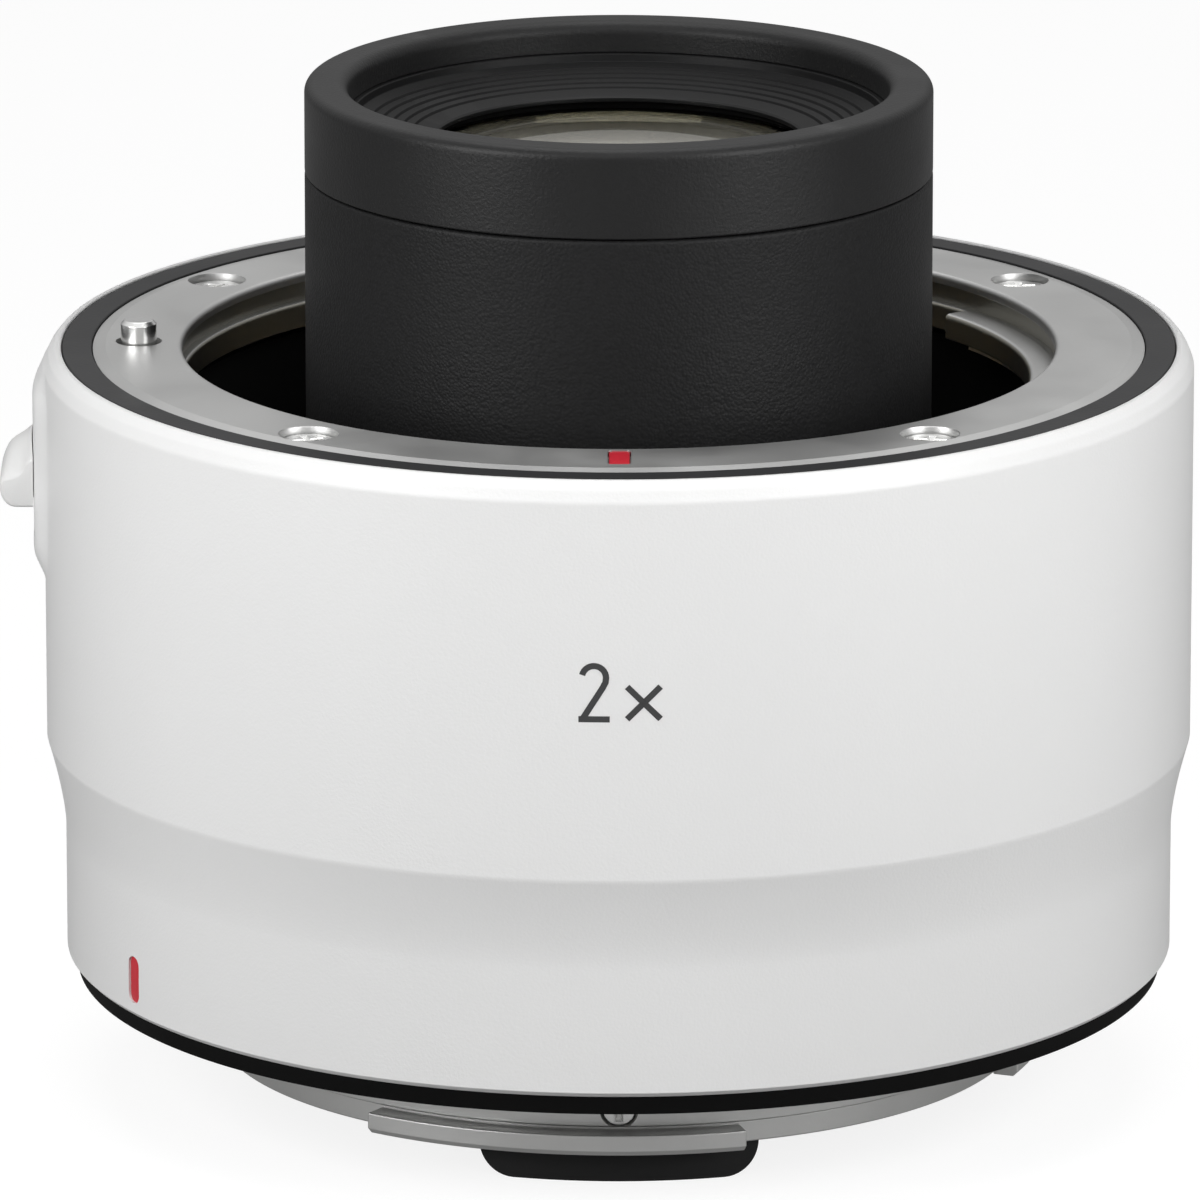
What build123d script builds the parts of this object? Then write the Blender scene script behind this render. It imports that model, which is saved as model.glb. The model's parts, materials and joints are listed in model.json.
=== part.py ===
from build123d import *
from math import cos, radians, sin, tan
import os

os.makedirs("parts", exist_ok=True)

# Camera teleconverter, in millimetres.
# The origin is on the optical axis, in the plane of the camera-side flange. +Z points to the lens.
# Azimuths are in degrees from -Y, where the index marks are, and grow towards +X.

# Overall sizes
flange_distance = 39.3
throat_radius = 27.0
throat_room = 7.62
tube_top = 55.8
foot_drop = 7.7

# Clearances and cuts
overrun = 1.0
running_clearance = 0.05
fit_gap = 0.05
seat_gap = 0.1
glass_seat_gap = 0.2
thread_gap = 0.05

# Outer barrel
barrel_bottom = 0.83
barrel_foot_chamfer_width = 0.21
barrel_foot_chamfer_height = 0.29
crease_height = 14.7
waist_height = 10.1
waist_blend = 10.0
shoulder_drop = 1.2
shoulder_mid_drop = 0.36
shoulder_mid_inset = 0.24
shoulder_inset = 0.72
rim_width = 1.1
waist_step = 1.12
rim_chamfer = 0.12
barrel_wall = 0.98
barrel_shoulder_width = 1.15
barrel_shoulder_rise = 1.4

# Barrel's raised pad for the lever, and the lever's slot
lever_azimuth = -90.0
pad_height = 0.7
pad_top_drop = 1.1
pad_length = 13.6
pad_half_width = 5.3
pad_round = 2.4
pad_edge_round = 0.35
pad_root = 0.6
lever_travel = 2.0
slot_end_room = 0.3

# Barrel's index bar
index_bar_azimuth = -59.7
index_bar_bottom = 1.74
index_bar_length = 2.96
index_bar_width = 1.3
index_bar_depth = 0.35
index_bar_recess = 0.12

# Lens-side mount ring
throat_land = 0.65
throat_groove_depth = 0.5
throat_groove_floor = 1.9
claw_ledge_reach = 0.1
mount_claw_reach = 1.6
mount_claw_chamfer = 0.25
mount_claw_back = 3.5
mount_hub_wall = 1.8
mount_plate_thickness = 1.9
mount_face_width = 5.55
mount_edge_chamfer = 0.4
mount_claws = ((76.0, 50.0), (-20.0, 50.0), (174.0, 46.0))
mount_screw_inset = 3.0
mount_screw_azimuths = (-38.6, 38.6, -122.5, 122.5)
mount_screw_sink_radius = 1.78
mount_screw_hole_radius = 1.05
index_mark_inset = 0.6
index_mark_length = 3.3
index_mark_width = 1.42
index_mark_round = 0.3
index_mark_depth = 0.35
index_mark_recess = 0.05

# Trim ring round the mount ring
trim_width = 1.95
trim_gap = 0.06
trim_drop = 0.42
trim_edge_chamfer = 0.1

# Screws of the lens-side mount
mount_screw_head_radius = 1.42
mount_screw_head_drop = 0.28
mount_screw_shank_radius = 1.0
mount_screw_length = 4.6
recess_length = 1.7
recess_width = 0.42
recess_depth = 0.5
head_edge = 0.08
sink_angle = 82.0

# Leaf springs under the lens-side claws
leaf_thickness = 0.3
leaf_claw_inset = 0.3
leaf_hub_inset = 0.3
leaf_inset_angle = 5.0

# Inner frame
frame_gap = 0.2
frame_wall = 1.4
frame_plate_thickness = 2.1
frame_plate_gap = 0.1
frame_bore_gap = 0.1
shim_thickness = 0.2
frame_floor_thickness = 2.6
frame_floor_bore_gap = 0.6
frame_foot_gap = 0.15
frame_boss_radius = 1.8
frame_boss_length = 3.4
window_half_width = 2.0
window_end_room = 0.4

# Board and its posts
post_inset = 3.4
post_radius = 1.8
post_azimuths = (0.0, 120.0, 240.0)
board_drop = 24.3
board_thickness = 1.2
board_width = 9.0
board_gap = 1.3
chip_height = 1.1
processor_side = 6.0
processor_azimuth = 60.0
memory_length = 5.0
memory_width = 3.6
memory_azimuth = 150.0
socket_length = 7.6
socket_depth = 2.4
chip_inset = 4.6

# Small screws inside
small_head_radius = 1.3
small_head_height = 0.7
small_shank_radius = 0.8
small_screw_length = 2.2
small_slot_width = 0.35
small_slot_depth = 0.35

# Throat liner
liner_gap = 0.3
liner_wall = 0.6
throat_depth = 10.3
liner_floor_thickness = 1.0
liner_tube_gap = 0.37
liner_tab_gap = 0.7
liner_tab_width = 6.0
liner_tab_thickness = 1.0
liner_tab_azimuths = (0.0, 90.0, 180.0)
liner_tab_screw_inset = 2.1

# Contacts: shared layout of the lens side and the camera side
contact_count = 12
contact_step_angle = 5.6
contact_azimuth = 180.0
contact_inset = 2.8

# Front contact block and its sprung pins
block_tube_gap = 0.92
block_claw_gap = 0.4
block_end_span = 5.2
block_drop = 7.9
block_edge_round = 0.5
block_flange_thickness = 1.4
block_flange_gap = 0.1
block_flange_inset = 0.7
block_flange_span = 9.0
block_screw_inset = 1.4
block_screw_span = 5.0
pin_radius = 0.5
pin_pressed_proud = 0.2
pin_collar_radius = 0.75
pin_collar_height = 0.55
pin_collar_drop = 2.0
pin_well_radius = 0.85
pin_tip_round = 0.3
pin_travel = 0.7
coil_wall = 0.18

# Flexible circuits
flex_thickness = 0.3
flex_tail_half_width = 4.0
flex_gap = 0.1
front_tail_inset = 2.3
rear_tail_inset = 0.75
rear_tail_slot_room = 0.35

# Optics: train of nine elements in five groups
glass_front_drop = 2.7
glass_rear = 2.44
cement = 0.02
glass_fit = 0.05
glass_ledge = 1.0
spacer_wall = 0.5
optics_drop = 3.9
optics_bottom = 3.5
optics_flange_width = 5.1
optics_flange_thickness = 1.5
optics_screw_inset = 1.7
optics_screw_azimuths = (30.0, 150.0, 270.0)
front_thread_wall = 1.95
retainer_width = 3.1
retainer_gap = 0.25
retainer_drop = 0.1

# Each element's gap before it, thickness, radius, front sag and rear sag. The radius is a share of the
# optics barrel's radius, and the others are shares of the train's length.
# A sag is how far the middle lies in front of the edge. A gap of zero means a cemented face.
element_shares = (
    (0.0, 0.0907, 0.739, 0.0413, -0.0295),
    (0.0, 0.0394, 0.739, -0.0295, 0.0098),
    (0.118, 0.0355, 0.682, -0.0237, 0.0355),
    (0.0, 0.128, 0.682, 0.0355, -0.0355),
    (0.0, 0.0355, 0.682, -0.0355, 0.0237),
    (0.116, 0.1085, 0.767, -0.0160, -0.0514),
    (0.0, 0.0355, 0.767, -0.0514, -0.0120),
    (0.0868, 0.0355, 0.824, -0.0278, 0.0157),
    (0.0493, 0.1183, 0.881, -0.0119, -0.0514),
)

# Lens tube, its cap and the baffle ring
tube_bore_gap = 0.3
tube_wall = 1.48
cap_height = 5.5
seam_gap = 0.22
seam_chamfer = 0.12
spigot_wall = 0.5
spigot_drop = 3.3
cap_bore_gap = 0.1
cap_lip_width = 2.73
cap_lip_drop = 1.9
cap_outer_round = 0.55
cap_inner_round = 0.75
cap_seam_chamfer = 0.12
baffle_gap = 0.1
baffle_rim_width = 2.1
bead_inset = 0.4
bead_drop = 0.55
baffle_cone_width = 4.5
baffle_eye_drop = 1.65
baffle_eye_land = 0.35
baffle_back_inset = 0.5
baffle_groove_count = 4
baffle_groove_inset = 0.4
baffle_groove_field = 2.0
baffle_groove_width = 0.22
baffle_groove_depth = 0.16

# Camera-side mount ring
neck_claw_gap = 0.1
neck_wall = 1.35
neck_end_inset = 0.2
neck_end = 5.15
neck_step = 3.76
camera_claw_gap = 0.35
claw_ledge = 3.95
claw_bottom = 5.3
claw_chamfer = 0.35
camera_claws = ((-35.3, 52.3), (60.5, 52.0), (156.0, 52.0))
claw_ramp_angle = 3.0
camera_plate_thickness = 2.2
camera_plate_lip = 0.65
seal_ledge = 0.35
camera_screw_inset = 4.0
camera_screw_azimuths = (45.0, 135.0, 225.0, 315.0)
camera_screw_head_radius = 1.65
camera_screw_head_drop = 0.1
camera_screw_sink_radius = 1.85
camera_screw_shank_radius = 0.95
camera_screw_hole_radius = 1.0
camera_screw_length = 4.4
lock_hole_radius = 1.45
lock_hole_depth = 1.7

# Shim and seal
shim_inset = 0.3
seal_inset = 0.38
seal_lip_inset = 0.33
seal_lip_drop = 0.41
seal_tongue_gap = 0.05

# Rear cover with its guard block, and the rear contact block
cover_gap = 0.1
cover_wall = 1.2
cover_top_drop = 0.2
cover_plate_bottom = 4.4
cover_plate_thickness = 1.2
window_side_margin = 4.0
window_end_margin = 9.0
window_round = 3.0
window_rim = 1.0
window_rim_height = 0.8
guard_width = 4.35
guard_half_span = 21.0
guard_round = 2.2
rear_block_end_span = 4.2
rear_block_top = 1.0
rear_block_ear_span = 8.0
rear_block_round = 1.0
shelf_thickness = 1.4
contact_pad_inset = 2.05
contact_pad_length = 2.6
contact_pad_width = 1.3
contact_pad_thickness = 0.5
contact_pad_sink = 0.05
rear_screw_head_radius = 1.02
rear_screw_shank_radius = 0.6
rear_screw_length = 2.9
rear_screw_depth = 2.7
rear_screw_sink_radius = 1.16
rear_screw_azimuths = (0.0, 120.0, -120.0)
rear_screw_boss_length = 3.05
rear_screw_boss_half_span = 5.0
rear_screw_slot_width = 0.3
rear_screw_slot_depth = 0.3

# Lock pin, its spring and the release lever
lock_pin_inset = 2.7
lock_pin_radius = 1.11
lock_pin_proud = 1.36
lock_pin_chamfer = 0.25
lock_pin_hole_radius = 1.42
lock_collar_radius = 1.45
lock_collar_gap = 0.1
lock_collar_height = 0.8
lock_pin_tail = 0.3
lock_spring_length = 4.5
lock_coil_radius = 1.3
lock_coil_wire = 0.24
knob_top_drop = 5.4
knob_height = 4.4
knob_depth = 2.1
knob_nose_rise = 1.9
knob_brow_depth = 1.45
knob_brow_drop = 1.0
knob_saddle_depth = 0.8
knob_saddle_drop = 0.55
knob_foot_round = 0.9
knob_half_width = 3.4
knob_side_drop = 2.2
knob_gap = 0.2
stem_half_width = 1.4
stem_rise = 0.1
stem_height = 3.0
slot_half_width = 1.65
slide_thickness = 3.0
slide_inset = 0.1
slide_half_width = 3.55
slide_foot = 0.2
slide_head = 0.9
fork_half_width = 1.3
fork_wall = 0.3
guide_liner_gap = 0.2
guide_half_width = 5.2
guide_floor_thickness = 1.5
guide_tab_half_width = 8.6
guide_tab_thickness = 1.3
guide_screw_offset = 7.2
guide_screw_inset = 1.2

# Heights and radii that follow from the sizes above
half_turn = 180.0
quarter_turn = 90.0
contact_half = (contact_count - 1) / 2
block_half_span = contact_half * contact_step_angle + block_end_span
block_flange_half_span = block_half_span + block_flange_span
block_screw_half_span = block_half_span + block_screw_span
rear_block_half_span = contact_half * contact_step_angle + rear_block_end_span
camera_plate_top = camera_plate_thickness
frame_floor_bottom = camera_plate_top + shim_thickness
frame_floor_top = frame_floor_bottom + frame_floor_thickness
barrel_shoulder_top = frame_floor_bottom + barrel_shoulder_rise
cover_top = camera_plate_top - cover_top_drop
mount_back = flange_distance - mount_claw_back
pad_top = flange_distance - pad_top_drop
pad_bottom = pad_top - pad_length
board_bottom = flange_distance - board_drop
liner_floor_top = flange_distance - throat_depth
liner_floor_bottom = liner_floor_top - liner_floor_thickness
block_flange_top = liner_floor_bottom - block_flange_gap
block_flange_bottom = block_flange_top - block_flange_thickness
knob_top = flange_distance - knob_top_drop
knob_bottom = knob_top - knob_height
knob_nose_height = knob_bottom + knob_nose_rise
knob_brow_height = knob_top - knob_brow_drop
knob_saddle_height = knob_top - knob_saddle_drop
knob_side_height = knob_top - knob_side_drop
stem_bottom = knob_bottom + stem_rise
stem_top = stem_bottom + stem_height
slide_bottom = stem_bottom - slide_foot
slide_top = stem_top + slide_head
lock_collar_top = slide_bottom - lock_collar_gap
lock_spring_top = lock_collar_top - lock_collar_height
guide_floor = lock_spring_top - lock_spring_length
guide_bottom = guide_floor - guide_floor_thickness
lock_pin_bottom = guide_bottom - lock_pin_tail
tube_seam = tube_top - cap_height
spigot_top = tube_top - spigot_drop
glass_front = tube_top - glass_front_drop
optics_top = tube_top - optics_drop
retainer_top = optics_top - retainer_drop
tube_radius = throat_radius - throat_room
tube_inner_radius = tube_radius - tube_wall
glass_barrel_radius = tube_inner_radius - tube_bore_gap
throat_groove_radius = throat_radius + throat_groove_depth
claw_ledge_radius = throat_radius - claw_ledge_reach
mount_claw_radius = throat_radius - mount_claw_reach
mount_hub_radius = throat_radius + mount_hub_wall
mount_outer_radius = throat_radius + mount_face_width
mount_screw_circle = throat_radius + mount_screw_inset
index_mark_inner = throat_radius + index_mark_inset
lock_pin_circle = throat_radius + lock_pin_inset
leaf_inner_radius = mount_claw_radius + leaf_claw_inset
leaf_outer_radius = mount_hub_radius - leaf_hub_inset
rim_inner_radius = mount_outer_radius + trim_width
barrel_radius = rim_inner_radius + rim_width
waist_radius = barrel_radius - waist_step
pad_radius = barrel_radius + pad_height
barrel_bore_radius = waist_radius - barrel_wall
barrel_shoulder_radius = barrel_bore_radius - barrel_shoulder_width
frame_outer_radius = barrel_bore_radius - frame_gap
frame_inner_radius = frame_outer_radius - frame_wall
frame_plate_radius = barrel_bore_radius - frame_plate_gap
frame_bore_radius = mount_hub_radius + frame_bore_gap
frame_foot_radius = barrel_shoulder_radius - frame_foot_gap
frame_floor_bore = glass_barrel_radius + frame_floor_bore_gap
post_circle = frame_inner_radius - post_inset
board_outer_radius = frame_inner_radius - board_gap
board_inner_radius = board_outer_radius - board_width
chip_circle = board_outer_radius - chip_inset
front_tail_radius = frame_inner_radius - front_tail_inset
spigot_radius = tube_inner_radius + spigot_wall
cap_bore_radius = spigot_radius + cap_bore_gap
cap_lip_radius = tube_radius - cap_lip_width
baffle_outer_radius = cap_bore_radius - baffle_gap
baffle_rim_radius = baffle_outer_radius - baffle_rim_width
bead_radius = baffle_rim_radius - bead_inset
baffle_eye_radius = bead_radius - baffle_cone_width
baffle_back_radius = baffle_rim_radius - baffle_back_inset
baffle_groove_outer = bead_radius - baffle_groove_inset
optics_flange_radius = glass_barrel_radius + optics_flange_width
optics_screw_circle = optics_flange_radius - optics_screw_inset
front_thread_radius = glass_barrel_radius - front_thread_wall
retainer_inner_radius = front_thread_radius - thread_gap - retainer_width
liner_inner_radius = throat_radius + liner_gap
liner_outer_radius = liner_inner_radius + liner_wall
liner_tab_radius = frame_inner_radius - liner_tab_gap
liner_tab_screw_circle = frame_inner_radius - liner_tab_screw_inset
block_inner_radius = tube_radius + block_tube_gap
block_outer_radius = mount_claw_radius - block_claw_gap
contact_circle = mount_claw_radius - contact_inset
block_flange_radius = liner_inner_radius - block_flange_inset
block_screw_circle = block_outer_radius - block_screw_inset
guide_inner = liner_outer_radius + guide_liner_gap
guide_screw_circle = guide_inner + guide_screw_inset
slide_inner = guide_inner + slide_inset
slide_outer = slide_inner + slide_thickness
fork_reach = slide_outer - fork_wall
neck_radius = mount_claw_radius - neck_claw_gap
neck_bore_radius = neck_radius - neck_wall
neck_end_radius = neck_radius - neck_end_inset
camera_claw_radius = throat_radius - camera_claw_gap
camera_plate_radius = barrel_shoulder_radius + camera_plate_lip
camera_screw_circle = neck_radius + camera_screw_inset
shim_inner_radius = neck_radius + shim_inset
seal_outer_radius = waist_radius - seal_inset
seal_lip_radius = seal_outer_radius - seal_lip_inset
seal_tongue_radius = barrel_shoulder_radius - seal_tongue_gap
plate_back = flange_distance - mount_plate_thickness
frame_plate_bottom = plate_back - frame_plate_thickness
block_top = flange_distance - block_drop
pin_collar_top = block_top - pin_collar_drop
trim_inner_radius = mount_outer_radius + trim_gap
trim_outer_radius = rim_inner_radius - trim_gap
stem_slot_bottom = stem_bottom - lever_travel - slot_end_room
stem_slot_top = stem_top + slot_end_room
knob_back = pad_radius + knob_gap
knob_reach = pad_radius + knob_depth
knob_brow_reach = pad_radius + knob_brow_depth
knob_saddle_reach = pad_radius + knob_saddle_depth
cover_radius = neck_bore_radius - cover_gap
guard_inner_radius = cover_radius - guard_width
window_length = 2 * (guard_inner_radius - window_side_margin)
window_height = 2 * (guard_inner_radius - window_end_margin)
contact_pad_circle = cover_radius - contact_pad_inset
rear_screw_boss_radius = cover_radius - rear_screw_boss_length
rear_tail_radius = cover_radius - rear_tail_inset
claw_root_radius = (neck_bore_radius + neck_end_radius) / 2
cover_plate_top = cover_plate_thickness - cover_plate_bottom
train_length = glass_front - glass_rear


def around(radius, azimuth):
    """X and Y at a radius and an azimuth."""
    return radius * sin(radians(azimuth)), -radius * cos(radians(azimuth))


def spots(radius, azimuths, height=0.0):
    """Upright locations on a circle, each turned to face outwards."""
    return [Location((*around(radius, azimuth), height), (0, 0, azimuth)) for azimuth in azimuths]


def spots_down(radius, azimuths, height=0.0):
    """Locations on a circle whose own Z points down, towards the camera."""
    return [
        Location((*around(radius, azimuth), height), (half_turn, 0, -azimuth))
        for azimuth in azimuths
    ]


def outward_plane(radius, azimuth, height):
    """Plane that faces outwards from the axis, with its own X along the rim."""
    return Plane(
        origin=(*around(radius, azimuth), height),
        x_dir=(cos(radians(azimuth)), sin(radians(azimuth)), 0),
        z_dir=(sin(radians(azimuth)), -cos(radians(azimuth)), 0),
    )


def turn(points, first=0.0, arc=360.0, mode=Mode.ADD):
    """Turn a closed outline of radius and height points about the axis, from an azimuth."""
    with BuildSketch(Plane.XZ.rotated((0, 0, first - quarter_turn))) as outline:
        with BuildLine():
            Polyline(points, close=True)
        make_face()
    revolve(outline.sketch, axis=Axis.Z, revolution_arc=arc, mode=mode)


def ring(inner, outer, bottom, top, first=0.0, arc=360.0, mode=Mode.ADD):
    """A plain ring, or an arc of one."""
    turn([(inner, bottom), (outer, bottom), (outer, top), (inner, top)], first, arc, mode)


def block(low, high, mode=Mode.ADD):
    """A box between two corners."""
    size = [upper - lower for lower, upper in zip(low, high)]
    with Locations(tuple((lower + upper) / 2 for lower, upper in zip(low, high))):
        Box(*size, mode=mode)


def peg(radius, place, bottom, top, mode=Mode.ADD):
    """A round peg or hole along Z at a place given as X and Y."""
    with Locations((*place, bottom)):
        Cylinder(radius, top - bottom, align=(Align.CENTER, Align.CENTER, Align.MIN), mode=mode)


def sunk_screw(head_radius, shank_radius, length):
    """A countersunk screw along Z, its head's top at zero and its shank below."""
    cone_height = (head_radius - shank_radius) / tan(radians(sink_angle / 2))
    turn([
        (0, 0),
        (head_radius, 0),
        (head_radius, -head_edge),
        (shank_radius, -head_edge - cone_height),
        (shank_radius, -length),
        (0, -length),
    ])


def pan_screw(head_radius, head_height, shank_radius, length):
    """A flat-headed screw along Z, the underside of its head at zero and its shank below."""
    ring(0, head_radius, 0, head_height)
    ring(0, shank_radius, -length, 0)


def write(part, name):
    """Label a finished piece and write its file."""
    part.label = name
    export_step(part, f"parts/{name}.step")


# Outer barrel
shoulder_start = flange_distance - shoulder_drop
with BuildPart() as lever_pad:
    with BuildSketch(outward_plane(0, lever_azimuth, (pad_bottom + pad_top) / 2)) as pad_outline:
        Rectangle(2 * pad_half_width, pad_top - pad_bottom)
        fillet(pad_outline.vertices().group_by(Axis.Y)[0], pad_round)
    extrude(amount=pad_radius + overrun)
    ring(
        barrel_radius - pad_root, pad_radius, pad_bottom - overrun, pad_top + overrun,
        mode=Mode.INTERSECT,
    )
    fillet(lever_pad.faces().sort_by(Axis.X)[0].edges(), pad_edge_round)

with BuildPart() as outer_barrel:
    with BuildSketch(Plane.XZ) as barrel_wall:
        with BuildLine():
            shoulder_end = (barrel_radius - shoulder_inset, flange_distance)
            ThreePointArc(
                (barrel_radius, shoulder_start),
                (barrel_radius - shoulder_mid_inset, flange_distance - shoulder_mid_drop),
                shoulder_end,
            )
            Polyline(
                shoulder_end,
                (rim_inner_radius + rim_chamfer, flange_distance),
                (rim_inner_radius, flange_distance - rim_chamfer),
                (rim_inner_radius, plate_back),
                (barrel_bore_radius, plate_back),
                (barrel_bore_radius, barrel_shoulder_top),
                (barrel_shoulder_radius, barrel_shoulder_top),
                (barrel_shoulder_radius, barrel_bottom),
                (waist_radius - barrel_foot_chamfer_width, barrel_bottom),
                (waist_radius, barrel_bottom + barrel_foot_chamfer_height),
                (waist_radius, waist_height),
                (barrel_radius, crease_height),
                (barrel_radius, shoulder_start),
            )
        make_face()
        fillet(barrel_wall.vertices().sort_by_distance((waist_radius, waist_height, 0))[0], waist_blend)
    revolve(axis=Axis.Z)
    add(lever_pad.part)
    block(
        (-pad_radius - overrun, -slot_half_width, stem_slot_bottom),
        (-barrel_shoulder_radius, slot_half_width, stem_slot_top),
        mode=Mode.SUBTRACT,
    )
    with BuildSketch(
        outward_plane(waist_radius, index_bar_azimuth, index_bar_bottom + index_bar_length / 2)
    ):
        SlotOverall(index_bar_length, index_bar_width, rotation=quarter_turn)
    extrude(amount=index_bar_depth, both=True, mode=Mode.SUBTRACT)
write(outer_barrel.part, "outer_barrel")

# Red bar laid in the barrel
with BuildPart() as barrel_index_bar:
    with BuildSketch(
        outward_plane(
            waist_radius - index_bar_depth,
            index_bar_azimuth,
            index_bar_bottom + index_bar_length / 2,
        )
    ):
        SlotOverall(
            index_bar_length - 2 * fit_gap,
            index_bar_width - 2 * fit_gap,
            rotation=quarter_turn,
        )
    extrude(amount=index_bar_depth - index_bar_recess)
write(barrel_index_bar.part, "barrel_index_bar")

# Trim ring between the barrel's rim and the mount ring
trim_top = flange_distance - trim_drop
with BuildPart() as trim_ring:
    turn([
        (trim_inner_radius, plate_back),
        (trim_outer_radius, plate_back),
        (trim_outer_radius, trim_top - trim_edge_chamfer),
        (trim_outer_radius - trim_edge_chamfer, trim_top),
        (trim_inner_radius + trim_edge_chamfer, trim_top),
        (trim_inner_radius, trim_top - trim_edge_chamfer),
    ])
write(trim_ring.part, "trim_ring")

# Lens-side mount ring, with its claws, screw sinks, pin hole and index recess
groove_floor = flange_distance - throat_groove_floor
with BuildPart() as lens_mount_ring:
    turn([
        (throat_radius, flange_distance),
        (throat_radius, flange_distance - throat_land),
        (throat_groove_radius, flange_distance - throat_land),
        (throat_groove_radius, groove_floor),
        (claw_ledge_radius, groove_floor),
        (claw_ledge_radius, mount_back),
        (mount_hub_radius, mount_back),
        (mount_hub_radius, plate_back),
        (mount_outer_radius, plate_back),
        (mount_outer_radius, flange_distance - mount_edge_chamfer),
        (mount_outer_radius - mount_edge_chamfer, flange_distance),
    ])
    for claw_start, claw_arc in mount_claws:
        turn([
            (throat_radius, mount_back),
            (mount_claw_radius, mount_back),
            (mount_claw_radius, groove_floor - mount_claw_chamfer),
            (mount_claw_radius + mount_claw_chamfer, groove_floor),
            (throat_radius, groove_floor),
        ], claw_start, claw_arc)
    with Locations(*spots(mount_screw_circle, mount_screw_azimuths, flange_distance)):
        CounterSinkHole(mount_screw_hole_radius, mount_screw_sink_radius)
    peg(
        lock_pin_hole_radius, around(lock_pin_circle, lever_azimuth),
        mount_back, flange_distance + overrun, mode=Mode.SUBTRACT,
    )
    with BuildSketch(Plane.XY.offset(flange_distance)):
        with Locations((0, -index_mark_inner - index_mark_length / 2)):
            RectangleRounded(index_mark_width, index_mark_length, index_mark_round)
    extrude(amount=-index_mark_depth, mode=Mode.SUBTRACT)
write(lens_mount_ring.part, "lens_mount_ring")

# Red mark laid in the mount's face
with BuildPart() as lens_index_mark:
    with BuildSketch(Plane.XY.offset(flange_distance - index_mark_depth)):
        with Locations((0, -index_mark_inner - index_mark_length / 2)):
            RectangleRounded(
                index_mark_width - 2 * fit_gap,
                index_mark_length - 2 * fit_gap,
                index_mark_round - fit_gap,
            )
    extrude(amount=index_mark_depth - index_mark_recess)
write(lens_index_mark.part, "lens_index_mark")

# Four cross-recess screws of the lens-side mount
with BuildPart() as mount_screw:
    sunk_screw(mount_screw_head_radius, mount_screw_shank_radius, mount_screw_length)
    for turned in (0, quarter_turn):
        with Locations(Location((0, 0, 0), (0, 0, turned))):
            Box(recess_length, recess_width, 2 * recess_depth, mode=Mode.SUBTRACT)
with BuildPart() as lens_mount_screws:
    mount_screw_height = flange_distance - mount_screw_head_drop
    with Locations(*spots(mount_screw_circle, mount_screw_azimuths, mount_screw_height)):
        add(mount_screw.part)
write(lens_mount_screws.part, "lens_mount_screws")

# Leaf springs that press the lens's claws
with BuildPart() as bayonet_leaf_springs:
    for claw_start, claw_arc in mount_claws:
        ring(
            leaf_inner_radius, leaf_outer_radius, mount_back - leaf_thickness, mount_back,
            claw_start + leaf_inset_angle, claw_arc - 2 * leaf_inset_angle,
        )
write(bayonet_leaf_springs.part, "bayonet_leaf_springs")

# Inner frame that carries both mounts, the barrel, the optics and the board
frame_inner_radius = frame_outer_radius - frame_wall
guide_screw_places = [(-guide_screw_circle, side * guide_screw_offset) for side in (-1, 1)]
with BuildPart() as inner_frame:
    turn([
        (frame_floor_bore, frame_floor_bottom),
        (frame_foot_radius, frame_floor_bottom),
        (frame_foot_radius, barrel_shoulder_top),
        (frame_outer_radius, barrel_shoulder_top),
        (frame_outer_radius, frame_plate_bottom),
        (frame_plate_radius, frame_plate_bottom),
        (frame_plate_radius, plate_back),
        (frame_bore_radius, plate_back),
        (frame_bore_radius, frame_plate_bottom),
        (frame_inner_radius, frame_plate_bottom),
        (frame_inner_radius, frame_floor_top),
        (frame_floor_bore, frame_floor_top),
    ])
    for azimuth in mount_screw_azimuths:
        peg(
            frame_boss_radius, around(mount_screw_circle, azimuth),
            frame_plate_bottom - frame_boss_length, frame_plate_bottom,
        )
    for azimuth in post_azimuths:
        peg(post_radius, around(post_circle, azimuth), frame_floor_top, board_bottom)
    for azimuth in mount_screw_azimuths:
        peg(
            mount_screw_shank_radius + thread_gap, around(mount_screw_circle, azimuth),
            frame_plate_bottom - frame_boss_length - overrun, plate_back + overrun,
            mode=Mode.SUBTRACT,
        )
    for azimuth in post_azimuths:
        peg(
            small_shank_radius + thread_gap, around(post_circle, azimuth),
            board_bottom - small_screw_length, board_bottom + overrun, mode=Mode.SUBTRACT,
        )
    for azimuth in camera_screw_azimuths:
        peg(
            camera_screw_shank_radius + thread_gap, around(camera_screw_circle, azimuth),
            frame_floor_bottom - overrun, frame_floor_top + overrun, mode=Mode.SUBTRACT,
        )
    for azimuth in optics_screw_azimuths:
        peg(
            small_shank_radius + thread_gap, around(optics_screw_circle, azimuth),
            frame_floor_bottom - overrun, frame_floor_top + overrun, mode=Mode.SUBTRACT,
        )
    for azimuth in liner_tab_azimuths:
        peg(
            small_shank_radius + thread_gap, around(liner_tab_screw_circle, azimuth),
            frame_plate_bottom - overrun, plate_back + overrun, mode=Mode.SUBTRACT,
        )
    for place in guide_screw_places:
        peg(
            small_shank_radius + thread_gap, place,
            frame_plate_bottom - overrun, plate_back + overrun, mode=Mode.SUBTRACT,
        )
    peg(
        lock_pin_radius + running_clearance, around(lock_pin_circle, lever_azimuth),
        frame_plate_bottom - overrun, plate_back + overrun, mode=Mode.SUBTRACT,
    )
    block(
        (-frame_outer_radius - overrun, -window_half_width, stem_slot_bottom - window_end_room),
        (-slide_inner, window_half_width, stem_slot_top + window_end_room),
        mode=Mode.SUBTRACT,
    )
    block(
        (
            -flex_tail_half_width - rear_tail_slot_room,
            rear_tail_radius - rear_tail_slot_room,
            frame_floor_bottom - overrun,
        ),
        (
            flex_tail_half_width + rear_tail_slot_room,
            rear_tail_radius + flex_thickness + rear_tail_slot_room,
            frame_floor_top + overrun,
        ),
        mode=Mode.SUBTRACT,
    )
write(inner_frame.part, "inner_frame")

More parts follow.
